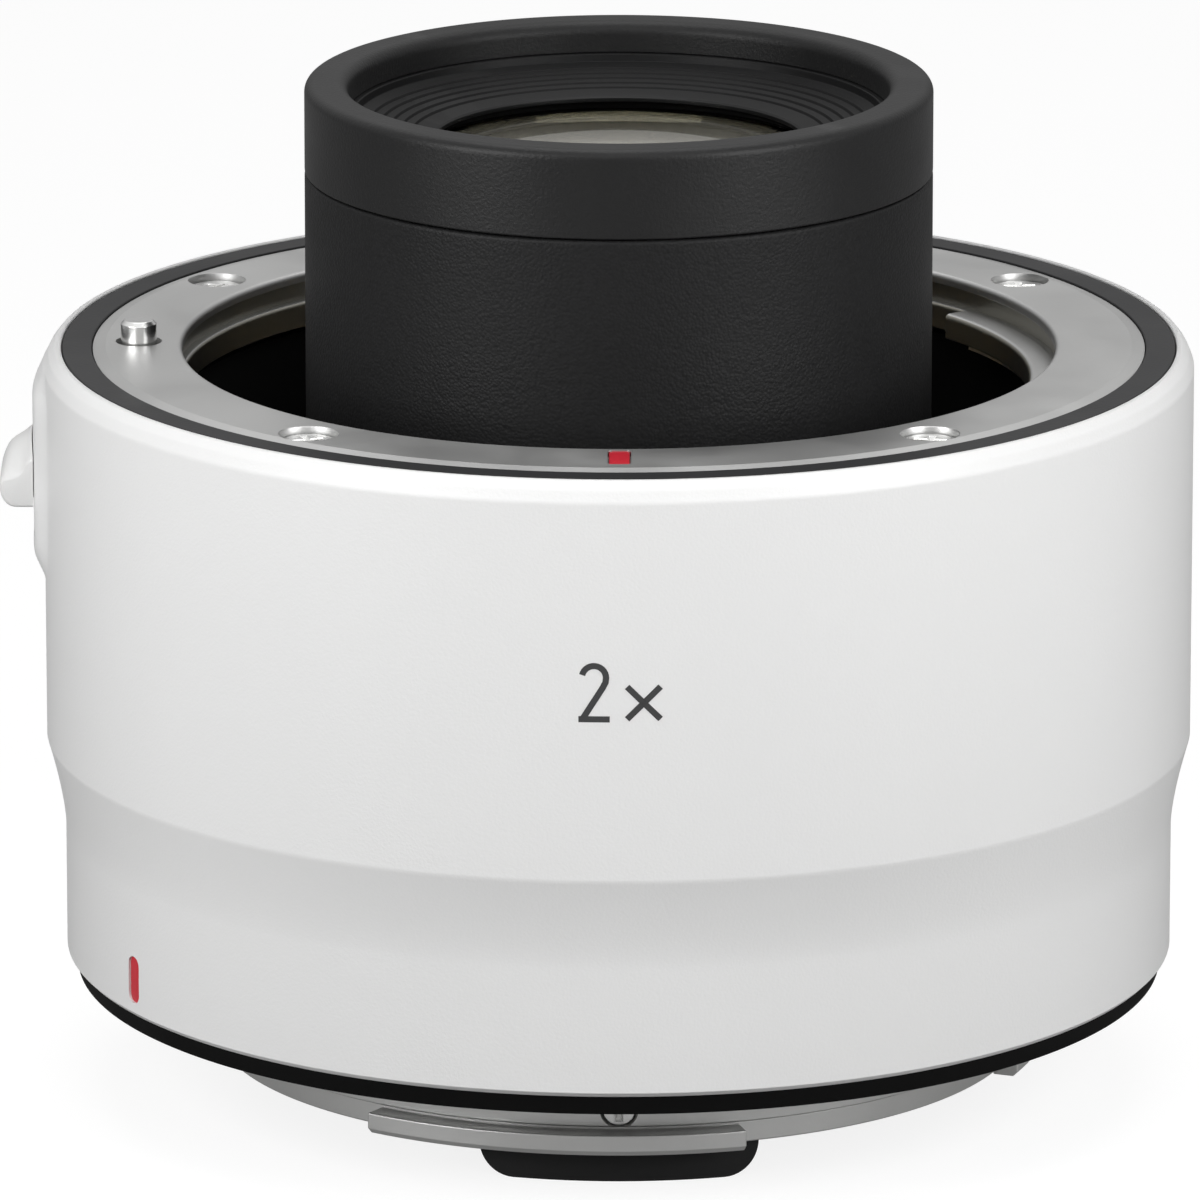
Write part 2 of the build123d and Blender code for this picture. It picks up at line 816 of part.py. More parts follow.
# Black liner under the lens-side mount, open where the contact block stands
liner_hole_radius = tube_radius + liner_tube_gap
block_opening_span = block_half_span + liner_wall
with BuildPart() as throat_liner:
    turn([
        (liner_hole_radius, liner_floor_bottom),
        (liner_outer_radius, liner_floor_bottom),
        (liner_outer_radius, frame_plate_bottom),
        (liner_inner_radius, frame_plate_bottom),
        (liner_inner_radius, liner_floor_top),
        (liner_hole_radius, liner_floor_top),
    ])
    for azimuth in liner_tab_azimuths:
        tab_reach = liner_tab_radius - liner_inner_radius - liner_wall / 2
        with Locations(*spots(
            liner_tab_radius - tab_reach / 2, [azimuth], frame_plate_bottom - liner_tab_thickness / 2
        )):
            Box(liner_tab_width, tab_reach, liner_tab_thickness)
        peg(
            small_shank_radius + thread_gap, around(liner_tab_screw_circle, azimuth),
            liner_floor_top, frame_plate_bottom + overrun, mode=Mode.SUBTRACT,
        )
    ring(
        liner_hole_radius - overrun, block_outer_radius + fit_gap,
        liner_floor_bottom - overrun, liner_floor_top + overrun,
        contact_azimuth - block_opening_span, 2 * block_opening_span, mode=Mode.SUBTRACT,
    )
    for side in (-1, 1):
        peg(
            small_shank_radius + thread_gap,
            around(block_screw_circle, contact_azimuth + side * block_screw_half_span),
            liner_floor_bottom - overrun, liner_floor_top + overrun, mode=Mode.SUBTRACT,
        )
write(throat_liner.part, "throat_liner")

# Front contact block with a well for each sprung pin
contact_azimuths = [contact_azimuth + (i - contact_half) * contact_step_angle for i in range(contact_count)]
with BuildPart() as front_contact_block:
    ring(
        block_inner_radius, block_outer_radius, block_flange_bottom, block_top,
        contact_azimuth - block_half_span, 2 * block_half_span,
    )
    fillet(
        front_contact_block.edges().filter_by(GeomType.LINE).group_by(Axis.Z)[-1], block_edge_round
    )
    ring(
        block_inner_radius, block_flange_radius, block_flange_bottom, block_flange_top,
        contact_azimuth - block_flange_half_span, 2 * block_flange_half_span,
    )
    for azimuth in contact_azimuths:
        place = around(contact_circle, azimuth)
        peg(
            pin_radius + running_clearance, place,
            block_flange_bottom - overrun, block_top + overrun, mode=Mode.SUBTRACT,
        )
        peg(
            pin_well_radius, place,
            block_flange_bottom - overrun, pin_collar_top + fit_gap, mode=Mode.SUBTRACT,
        )
    for side in (-1, 1):
        peg(
            small_shank_radius + thread_gap,
            around(block_screw_circle, contact_azimuth + side * block_screw_half_span),
            block_flange_bottom - overrun, block_top + overrun, mode=Mode.SUBTRACT,
        )
write(front_contact_block.part, "front_contact_block")

# Twelve sprung contact pins
pin_top = block_top + pin_pressed_proud + pin_travel
collar_bottom = pin_collar_top - pin_collar_height
for number, azimuth in enumerate(contact_azimuths, start=1):
    with BuildPart() as contact_pin:
        place = around(contact_circle, azimuth)
        peg(pin_radius, place, collar_bottom, pin_top)
        fillet(contact_pin.edges().group_by(Axis.Z)[-1], pin_tip_round)
        peg(pin_collar_radius, place, collar_bottom, pin_collar_top)
    write(contact_pin.part, f"contact_pin_{number:02d}")

# Their springs, each a sleeve that stands on the flexible circuit
with BuildPart() as contact_springs:
    for azimuth in contact_azimuths:
        place = around(contact_circle, azimuth)
        peg(pin_collar_radius, place, block_flange_bottom, collar_bottom)
        peg(
            pin_collar_radius - coil_wall, place,
            block_flange_bottom - overrun, collar_bottom + overrun, mode=Mode.SUBTRACT,
        )
write(contact_springs.part, "contact_springs")

# Flexible circuit from the pins down to the board
board_top = board_bottom + board_thickness
flex_bottom = block_flange_bottom - flex_thickness
with BuildPart() as front_contact_flex:
    ring(
        block_inner_radius, block_flange_radius, flex_bottom, block_flange_bottom,
        contact_azimuth - block_half_span, 2 * block_half_span,
    )
    block(
        (-flex_tail_half_width, block_outer_radius, flex_bottom),
        (flex_tail_half_width, front_tail_radius, block_flange_bottom),
    )
    block(
        (-flex_tail_half_width, front_tail_radius - flex_thickness, board_top),
        (flex_tail_half_width, front_tail_radius, block_flange_bottom),
    )
write(front_contact_flex.part, "front_contact_flex")

# Ring-shaped board with its chips and the socket of the flexible circuit
with BuildPart() as circuit_board:
    ring(board_inner_radius, board_outer_radius, board_bottom, board_top)
    chip_middle = board_top + chip_height / 2
    with Locations(*spots(chip_circle, [processor_azimuth, -processor_azimuth], chip_middle)):
        Box(processor_side, processor_side, chip_height)
    with Locations(*spots(chip_circle, [memory_azimuth, -memory_azimuth], chip_middle)):
        Box(memory_length, memory_width, chip_height)
    with Locations(*spots(
        front_tail_radius - flex_thickness - flex_gap - socket_depth / 2, [contact_azimuth], chip_middle
    )):
        Box(socket_length, socket_depth, chip_height)
    for azimuth in post_azimuths:
        peg(
            small_shank_radius + thread_gap, around(post_circle, azimuth),
            board_bottom - overrun, board_top + overrun, mode=Mode.SUBTRACT,
        )
write(circuit_board.part, "circuit_board")

# Glass: nine elements in five groups
glass = []
vertex = glass_front
for gap, thickness, radius, front_sag, rear_sag in element_shares:
    if glass:
        vertex -= gap * train_length if gap else cement
    edge_radius = radius * glass_barrel_radius
    rear_vertex = vertex - thickness * train_length
    glass.append({
        "front": vertex,
        "rear": rear_vertex,
        "radius": edge_radius,
        "front_edge": vertex - front_sag * train_length,
        "rear_edge": rear_vertex - rear_sag * train_length,
    })
    vertex = rear_vertex

for number, lens in enumerate(glass, start=1):
    edge_radius = lens["radius"]
    with BuildPart() as lens_element:
        with BuildSketch(Plane.XZ):
            with BuildLine():
                front_centre = (0, lens["front"])
                front_edge = (edge_radius, lens["front_edge"])
                rear_centre = (0, lens["rear"])
                rear_edge = (edge_radius, lens["rear_edge"])
                ThreePointArc((-front_edge[0], front_edge[1]), front_centre, front_edge)
                Line(front_edge, rear_edge)
                ThreePointArc(rear_edge, rear_centre, (-rear_edge[0], rear_edge[1]))
                Line((-rear_edge[0], rear_edge[1]), (-front_edge[0], front_edge[1]))
            make_face()
            split(bisect_by=Plane.YZ)
        revolve(axis=Axis.Z)
    write(lens_element.part, f"lens_element_{number}")

# Optics barrel with a stepped bore, a seat for each group and its flange on the frame
front_pair, triplet, rear_pair, single, last = glass[0], glass[2], glass[5], glass[7], glass[8]
pair_seat = glass[1]["rear_edge"] - seat_gap
with BuildPart() as optics_barrel:
    turn([
        (glass_barrel_radius, optics_top),
        (front_thread_radius, optics_top),
        (front_thread_radius, front_pair["front_edge"]),
        (front_pair["radius"] + glass_fit, front_pair["front_edge"]),
        (front_pair["radius"] + glass_fit, pair_seat),
        (triplet["radius"] - glass_ledge, pair_seat),
        (triplet["radius"] - glass_ledge, triplet["front_edge"] + seat_gap),
        (triplet["radius"] + glass_fit, triplet["front_edge"] + seat_gap),
        (triplet["radius"] + glass_fit, rear_pair["front_edge"] + seat_gap),
        (rear_pair["radius"] + glass_fit, rear_pair["front_edge"] + seat_gap),
        (rear_pair["radius"] + glass_fit, single["front_edge"] + seat_gap),
        (single["radius"] + glass_fit, single["front_edge"] + seat_gap),
        (single["radius"] + glass_fit, last["front_edge"] + seat_gap),
        (last["radius"] + glass_fit, last["front_edge"] + seat_gap),
        (last["radius"] + glass_fit, optics_bottom),
        (glass_barrel_radius, optics_bottom),
        (glass_barrel_radius, frame_floor_top),
        (optics_flange_radius, frame_floor_top),
        (optics_flange_radius, frame_floor_top + optics_flange_thickness),
        (glass_barrel_radius, frame_floor_top + optics_flange_thickness),
    ])
    for azimuth in optics_screw_azimuths:
        peg(
            small_shank_radius + thread_gap, around(optics_screw_circle, azimuth),
            frame_floor_top - overrun, frame_floor_top + optics_flange_thickness + overrun,
            mode=Mode.SUBTRACT,
        )
write(optics_barrel.part, "optics_barrel")

# Retainers and spacers of the glass
with BuildPart() as front_retainer_ring:
    ring(
        retainer_inner_radius, front_thread_radius - thread_gap,
        front_pair["front_edge"] + retainer_gap, retainer_top,
    )
write(front_retainer_ring.part, "front_retainer_ring")

with BuildPart() as front_spacer_ring:
    ring(
        triplet["radius"] - spacer_wall, triplet["radius"],
        rear_pair["front_edge"], glass[4]["rear_edge"] - glass_seat_gap,
    )
write(front_spacer_ring.part, "front_spacer_ring")

with BuildPart() as middle_spacer_ring:
    ring(
        rear_pair["radius"] - spacer_wall, rear_pair["radius"],
        single["front_edge"], glass[6]["rear_edge"] - glass_seat_gap,
    )
write(middle_spacer_ring.part, "middle_spacer_ring")

with BuildPart() as rear_spacer_ring:
    ring(
        single["radius"] - spacer_wall, single["radius"],
        last["front_edge"], single["rear_edge"] - glass_seat_gap,
    )
write(rear_spacer_ring.part, "rear_spacer_ring")

with BuildPart() as rear_retainer_ring:
    ring(
        last["radius"] - spacer_wall, last["radius"],
        optics_bottom, last["rear_edge"] - glass_seat_gap,
    )
write(rear_retainer_ring.part, "rear_retainer_ring")

# Lens tube round the optics barrel, with the spigot of its cap
tube_bottom = frame_floor_top + optics_flange_thickness
with BuildPart() as lens_tube:
    turn([
        (tube_inner_radius, tube_bottom),
        (tube_radius, tube_bottom),
        (tube_radius, tube_seam - seam_gap - seam_chamfer),
        (tube_radius - seam_chamfer, tube_seam - seam_gap),
        (spigot_radius, tube_seam - seam_gap),
        (spigot_radius, spigot_top),
        (tube_inner_radius, spigot_top),
    ])
write(lens_tube.part, "lens_tube")

# Smooth cap with its rolled lip
lip_bottom = tube_top - cap_lip_drop
with BuildPart() as tube_cap:
    with BuildSketch(Plane.XZ) as cap_wall:
        with BuildLine():
            Polyline([
                (tube_radius - cap_seam_chamfer, tube_seam),
                (tube_radius, tube_seam + cap_seam_chamfer),
                (tube_radius, tube_top),
                (cap_lip_radius, tube_top),
                (cap_lip_radius, lip_bottom),
                (cap_bore_radius, lip_bottom),
                (cap_bore_radius, tube_seam),
            ], close=True)
        make_face()
        fillet(cap_wall.vertices().sort_by_distance((tube_radius, tube_top, 0))[0], cap_outer_round)
        fillet(cap_wall.vertices().sort_by_distance((cap_lip_radius, tube_top, 0))[0], cap_inner_round)
    revolve(axis=Axis.Z)
write(tube_cap.part, "tube_cap")

# Grooved baffle ring under the cap's lip
bead_top = lip_bottom - fit_gap
eye_top = bead_top - baffle_eye_drop
eye_bottom = eye_top - baffle_eye_land
cone_rise_share = (bead_drop - baffle_eye_drop) / (baffle_eye_radius - bead_radius)
groove_step = baffle_groove_field / (baffle_groove_count - 1)
with BuildPart() as front_baffle_ring:
    turn([
        (baffle_outer_radius, bead_top),
        (baffle_rim_radius, bead_top),
        (bead_radius, bead_top - bead_drop),
        (baffle_eye_radius, eye_top),
        (baffle_eye_radius, eye_bottom),
        (baffle_back_radius, spigot_top + fit_gap),
        (baffle_outer_radius, spigot_top + fit_gap),
    ])
    for number in range(baffle_groove_count):
        groove_radius = baffle_groove_outer - number * groove_step
        groove_top = bead_top - bead_drop + (bead_radius - groove_radius) * cone_rise_share
        ring(
            groove_radius - baffle_groove_width / 2, groove_radius + baffle_groove_width / 2,
            groove_top - baffle_groove_depth, groove_top + overrun, mode=Mode.SUBTRACT,
        )
write(front_baffle_ring.part, "front_baffle_ring")

# Camera-side mount ring: plate, neck, three claws, screw holes and the camera's lock-pin hole
with BuildPart() as camera_mount_ring:
    turn([
        (neck_bore_radius, camera_plate_top),
        (neck_bore_radius, -neck_end),
        (neck_end_radius, -neck_end),
        (neck_end_radius, -neck_step),
        (neck_radius, -neck_step),
        (neck_radius, 0),
        (camera_plate_radius, 0),
        (camera_plate_radius, seal_ledge),
        (frame_foot_radius, seal_ledge),
        (frame_foot_radius, camera_plate_top),
    ])
    for claw_start, claw_arc in camera_claws:
        turn([
            (claw_root_radius, -claw_ledge),
            (camera_claw_radius, -claw_ledge),
            (camera_claw_radius, -claw_bottom + claw_chamfer),
            (camera_claw_radius - claw_chamfer, -claw_bottom),
            (claw_root_radius, -claw_bottom),
        ], claw_start + claw_ramp_angle, claw_arc - claw_ramp_angle)
        turn([
            (claw_root_radius, -claw_ledge - claw_chamfer),
            (camera_claw_radius - claw_chamfer, -claw_ledge - claw_chamfer),
            (camera_claw_radius - claw_chamfer, -claw_bottom + claw_chamfer),
            (camera_claw_radius - 2 * claw_chamfer, -claw_bottom),
            (claw_root_radius, -claw_bottom),
        ], claw_start, claw_ramp_angle)
    with Locations(*spots_down(camera_screw_circle, camera_screw_azimuths)):
        CounterSinkHole(camera_screw_hole_radius, camera_screw_sink_radius)
    peg(
        lock_hole_radius, around(lock_pin_circle, lever_azimuth),
        -overrun, lock_hole_depth, mode=Mode.SUBTRACT,
    )
    for azimuth in rear_screw_azimuths:
        with Locations(outward_plane(neck_radius, azimuth, -rear_screw_depth)):
            CounterSinkHole(
                rear_screw_shank_radius + thread_gap, rear_screw_sink_radius,
                depth=neck_radius - neck_bore_radius + cover_gap,
            )
write(camera_mount_ring.part, "camera_mount_ring")

# Four countersunk screws of the camera-side mount
with BuildPart() as camera_screw:
    sunk_screw(camera_screw_head_radius, camera_screw_shank_radius, camera_screw_length)
    for turned in (0, quarter_turn):
        with Locations(Location((0, 0, 0), (0, 0, turned))):
            Box(recess_length, recess_width, 2 * recess_depth, mode=Mode.SUBTRACT)
with BuildPart() as camera_mount_screws:
    with Locations(*spots_down(camera_screw_circle, camera_screw_azimuths, camera_screw_head_drop)):
        add(camera_screw.part)
write(camera_mount_screws.part, "camera_mount_screws")

# Thin shim between the frame and the camera-side mount
with BuildPart() as mount_shim:
    ring(shim_inner_radius, frame_foot_radius, camera_plate_top, frame_floor_bottom)
    for azimuth in camera_screw_azimuths:
        peg(
            camera_screw_hole_radius, around(camera_screw_circle, azimuth),
            camera_plate_top - overrun, frame_floor_bottom + overrun, mode=Mode.SUBTRACT,
        )
write(mount_shim.part, "mount_shim")

# Rubber seal whose tongue is held between the barrel and the mount ring
with BuildPart() as seal_ring:
    turn([
        (seal_tongue_radius, seal_ledge),
        (camera_plate_radius + fit_gap, seal_ledge),
        (camera_plate_radius + fit_gap, -seal_lip_drop),
        (seal_lip_radius, -seal_lip_drop),
        (seal_outer_radius, barrel_bottom),
        (seal_tongue_radius, barrel_bottom),
    ])
write(seal_ring.part, "seal_ring")

# Rear cover: wall, plate with the light window, guard block, screw bosses and contact shelf
shelf_bottom = -rear_block_top
shelf_half_span = rear_block_half_span + rear_block_ear_span
ear_azimuths = [
    contact_azimuth + side * (rear_block_half_span + rear_block_ear_span / 2) for side in (-1, 1)
]
cover_inner_radius = cover_radius - cover_wall
cover_middle_radius = cover_radius - cover_wall / 2
with BuildPart() as guard_block:
    ring(
        guard_inner_radius, cover_radius, -foot_drop, -cover_plate_bottom,
        -guard_half_span, 2 * guard_half_span,
    )
    fillet(guard_block.edges().filter_by(GeomType.LINE).group_by(Axis.Z)[0], guard_round)

with BuildPart() as rear_cover:
    ring(cover_inner_radius, cover_radius, -cover_plate_bottom, cover_top)
    with BuildSketch(Plane.XY.offset(-cover_plate_bottom)):
        Circle(cover_radius)
        RectangleRounded(window_length, window_height, window_round, mode=Mode.SUBTRACT)
    extrude(amount=cover_plate_thickness)
    with BuildSketch(Plane.XY.offset(cover_plate_top)):
        RectangleRounded(
            window_length + 2 * window_rim, window_height + 2 * window_rim, window_round + window_rim
        )
        RectangleRounded(window_length, window_height, window_round, mode=Mode.SUBTRACT)
    extrude(amount=window_rim_height)
    for azimuth in rear_screw_azimuths:
        ring(
            rear_screw_boss_radius, cover_middle_radius,
            cover_plate_top - cover_plate_thickness / 2, shelf_bottom,
            azimuth - rear_screw_boss_half_span, 2 * rear_screw_boss_half_span,
        )
    ring(
        guard_inner_radius, cover_middle_radius, shelf_bottom, shelf_bottom + shelf_thickness,
        contact_azimuth - shelf_half_span, 2 * shelf_half_span,
    )
    ring(
        guard_inner_radius - fit_gap, cover_radius + overrun, -foot_drop, shelf_bottom,
        contact_azimuth - shelf_half_span, 2 * shelf_half_span, mode=Mode.SUBTRACT,
    )
    block(
        (-flex_tail_half_width - rear_tail_slot_room, rear_tail_radius - rear_tail_slot_room, shelf_bottom),
        (flex_tail_half_width + rear_tail_slot_room, cover_radius + overrun, cover_top + overrun),
        mode=Mode.SUBTRACT,
    )
    with Locations(*[
        outward_plane(cover_radius, azimuth, -rear_screw_depth) for azimuth in rear_screw_azimuths
    ]):
        Hole(rear_screw_shank_radius + thread_gap, depth=rear_screw_length)
    for azimuth in ear_azimuths:
        peg(
            rear_screw_shank_radius + thread_gap, around(contact_circle, azimuth),
            shelf_bottom - overrun, shelf_bottom + shelf_thickness + overrun, mode=Mode.SUBTRACT,
        )
    add(guard_block.part)
write(rear_cover.part, "rear_cover")

# Rear contact block with a recess for each pad and an ear at each end
ear_bottom = -cover_plate_bottom
ear_half_span = shelf_half_span - running_clearance
with BuildPart() as rear_contact_block:
    ring(
        guard_inner_radius, cover_radius, -foot_drop, shelf_bottom,
        contact_azimuth - rear_block_half_span, 2 * rear_block_half_span,
    )
    fillet(rear_contact_block.edges().filter_by(GeomType.LINE).group_by(Axis.Z)[0], rear_block_round)
    ring(
        guard_inner_radius, cover_radius, ear_bottom, shelf_bottom,
        contact_azimuth - ear_half_span, 2 * ear_half_span,
    )
    with Locations(*spots(contact_pad_circle, contact_azimuths, -foot_drop)):
        Box(
            contact_pad_width + 2 * fit_gap, contact_pad_length + 2 * fit_gap,
            2 * (contact_pad_thickness + contact_pad_sink), mode=Mode.SUBTRACT,
        )
    with Locations(*spots_down(contact_circle, ear_azimuths, ear_bottom)):
        CounterSinkHole(rear_screw_shank_radius + thread_gap, rear_screw_sink_radius)
write(rear_contact_block.part, "rear_contact_block")

# Twelve flat contact pads
with BuildPart() as rear_contact_pads:
    with Locations(*spots(
        contact_pad_circle, contact_azimuths, contact_pad_sink + contact_pad_thickness / 2 - foot_drop
    )):
        Box(contact_pad_width, contact_pad_length, contact_pad_thickness)
write(rear_contact_pads.part, "rear_contact_pads")

# Small countersunk screws of the rear cover and the contact block
with BuildPart() as rear_screw:
    sunk_screw(rear_screw_head_radius, rear_screw_shank_radius, rear_screw_length)
    Box(2 * rear_screw_head_radius, rear_screw_slot_width, 2 * rear_screw_slot_depth, mode=Mode.SUBTRACT)
with BuildPart() as rear_screws:
    for azimuth in rear_screw_azimuths:
        with Locations(outward_plane(neck_radius - fit_gap, azimuth, -rear_screw_depth)):
            add(rear_screw.part)
    with Locations(*spots_down(contact_circle, ear_azimuths, ear_bottom + fit_gap)):
        add(rear_screw.part)
write(rear_screws.part, "rear_screws")

# Flexible circuit from the board down to the rear contact block
with BuildPart() as rear_contact_flex:
    block(
        (-flex_tail_half_width, rear_tail_radius, shelf_bottom),
        (flex_tail_half_width, rear_tail_radius + flex_thickness, board_bottom),
    )
write(rear_contact_flex.part, "rear_contact_flex")

# Identical small screws: board, optics flange, liner tabs, contact block ears and lever guide
with BuildPart() as small_screw:
    pan_screw(small_head_radius, small_head_height, small_shank_radius, small_screw_length)
    with Locations((0, 0, small_head_height)):
        Box(2 * small_head_radius, small_slot_width, 2 * small_slot_depth, mode=Mode.SUBTRACT)
guide_tab_bottom = frame_plate_bottom - guide_tab_thickness
with BuildPart() as inner_screws:
    with Locations(*spots(post_circle, post_azimuths, board_top)):
        add(small_screw.part)
    with Locations(*spots(optics_screw_circle, optics_screw_azimuths, tube_bottom)):
        add(small_screw.part)
    with Locations(*spots_down(
        liner_tab_screw_circle, liner_tab_azimuths, frame_plate_bottom - liner_tab_thickness,
    )):
        add(small_screw.part)
    with Locations(*spots_down(
        block_screw_circle,
        [contact_azimuth + side * block_screw_half_span for side in (-1, 1)],
        block_flange_bottom,
    )):
        add(small_screw.part)
    for place in guide_screw_places:
        with Locations(Location((*place, guide_tab_bottom), (half_turn, 0, 0))):
            add(small_screw.part)
write(inner_screws.part, "inner_screws")

# Guide of the lock release, under the frame's plate
with BuildPart() as lever_guide:
    block(
        (-slide_outer, -guide_half_width, guide_bottom),
        (-guide_inner, guide_half_width, frame_plate_bottom),
    )
    block(
        (-guide_screw_circle - small_head_radius, -guide_tab_half_width, guide_tab_bottom),
        (-guide_inner, guide_tab_half_width, frame_plate_bottom),
    )
    block(
        (
            -slide_outer - overrun,
            -slide_half_width - running_clearance,
            guide_floor,
        ),
        (
            -guide_inner + overrun,
            slide_half_width + running_clearance,
            frame_plate_bottom + overrun,
        ),
        mode=Mode.SUBTRACT,
    )
    peg(
        lock_pin_radius + running_clearance, around(lock_pin_circle, lever_azimuth),
        guide_bottom - overrun, guide_floor + overrun, mode=Mode.SUBTRACT,
    )
    for place in guide_screw_places:
        peg(
            small_shank_radius + thread_gap, place,
            guide_tab_bottom - overrun, frame_plate_bottom + overrun, mode=Mode.SUBTRACT,
        )
write(lever_guide.part, "lever_guide")

# Slide that the lever moves, forked over the pin's collar
with BuildPart() as lever_slider:
    block(
        (-slide_outer, -slide_half_width, slide_bottom),
        (-slide_inner, slide_half_width, slide_top),
    )
    block(
        (-fork_reach, -fork_half_width, slide_bottom - overrun),
        (-slide_inner + overrun, fork_half_width, slide_top + overrun),
        mode=Mode.SUBTRACT,
    )
write(lever_slider.part, "lever_slider")

# Release lever: thumb knob outside the pad, and the stem that reaches the slide
with BuildPart() as release_lever:
    with BuildSketch(Plane.XZ) as knob_side:
        with BuildLine():
            knob_crown = (-pad_radius, knob_top)
            knob_brow = (-knob_brow_reach, knob_brow_height)
            knob_nose = (-knob_reach, knob_nose_height)
            ThreePointArc(knob_crown, (-knob_saddle_reach, knob_saddle_height), knob_brow)
            TangentArc(knob_nose, knob_brow, tangent=(0, 1))
            Polyline(
                knob_nose,
                (-knob_reach, knob_bottom),
                (-barrel_radius, knob_bottom),
                (-barrel_radius, knob_top),
                knob_crown,
            )
        make_face()
        fillet(knob_side.vertices().sort_by_distance((-knob_reach, knob_bottom, 0))[0], knob_foot_round)
    extrude(amount=knob_half_width, both=True)
    with BuildSketch(Plane.YZ):
        with BuildLine():
            near_side = (-knob_half_width, knob_side_height)
            far_side = (knob_half_width, knob_side_height)
            ThreePointArc(near_side, (0, knob_top), far_side)
            Polyline(
                far_side,
                (knob_half_width, knob_bottom),
                (-knob_half_width, knob_bottom),
                near_side,
            )
        make_face()
    extrude(amount=-knob_reach - overrun, mode=Mode.INTERSECT)
    ring(0, knob_back, knob_bottom - overrun, knob_top + overrun, mode=Mode.SUBTRACT)
    block(
        (-knob_back - overrun, -stem_half_width, stem_bottom),
        (-slide_outer, stem_half_width, stem_top),
    )
write(release_lever.part, "release_lever")

# Lock pin with its collar
pin_place = around(lock_pin_circle, lever_azimuth)
lock_pin_top = flange_distance + lock_pin_proud
with BuildPart() as lock_pin:
    peg(lock_pin_radius, pin_place, lock_pin_bottom, lock_pin_top)
    chamfer(lock_pin.edges().group_by(Axis.Z)[-1], lock_pin_chamfer)
    peg(lock_collar_radius, pin_place, lock_spring_top, lock_collar_top)
write(lock_pin.part, "lock_pin")

# Return spring of the pin, as a sleeve of the coil's outer and inner size
with BuildPart() as lock_pin_spring:
    peg(lock_coil_radius + lock_coil_wire / 2, pin_place, guide_floor, lock_spring_top)
    peg(
        lock_coil_radius - lock_coil_wire / 2, pin_place,
        guide_floor - overrun, lock_spring_top + overrun, mode=Mode.SUBTRACT,
    )
write(lock_pin_spring.part, "lock_pin_spring")
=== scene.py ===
import json
import logging
import math
from dataclasses import dataclass
from enum import Enum
from typing import Callable, Iterable, Optional, Sequence

import bmesh
import bpy
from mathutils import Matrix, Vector


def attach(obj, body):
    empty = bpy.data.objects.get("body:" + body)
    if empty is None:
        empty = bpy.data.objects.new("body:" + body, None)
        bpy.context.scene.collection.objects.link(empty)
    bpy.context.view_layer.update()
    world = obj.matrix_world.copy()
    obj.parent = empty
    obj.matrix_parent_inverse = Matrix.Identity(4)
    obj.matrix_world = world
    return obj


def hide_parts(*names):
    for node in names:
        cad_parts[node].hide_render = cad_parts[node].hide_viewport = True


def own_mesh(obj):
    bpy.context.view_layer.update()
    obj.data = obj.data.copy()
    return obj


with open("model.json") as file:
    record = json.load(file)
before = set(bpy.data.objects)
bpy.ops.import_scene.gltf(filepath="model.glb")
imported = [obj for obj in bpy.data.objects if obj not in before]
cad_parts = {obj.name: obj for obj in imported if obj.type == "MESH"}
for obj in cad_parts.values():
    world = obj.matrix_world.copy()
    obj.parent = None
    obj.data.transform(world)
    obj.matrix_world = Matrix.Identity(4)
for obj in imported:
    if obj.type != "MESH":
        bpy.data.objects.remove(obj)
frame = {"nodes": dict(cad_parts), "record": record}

MM = 0.001
SHARP_ANGLE = 32.0
LOG = logging.getLogger("teleconverter")
Point2 = tuple[float, float]
Corner = tuple[float, float, float]
Mesh, Tree, Node, Socket = bpy.types.Mesh, bpy.types.NodeTree, bpy.types.Node, bpy.types.NodeSocket
Face = bpy.types.MeshPolygon


# ---------------------------------------------------------------- node trees


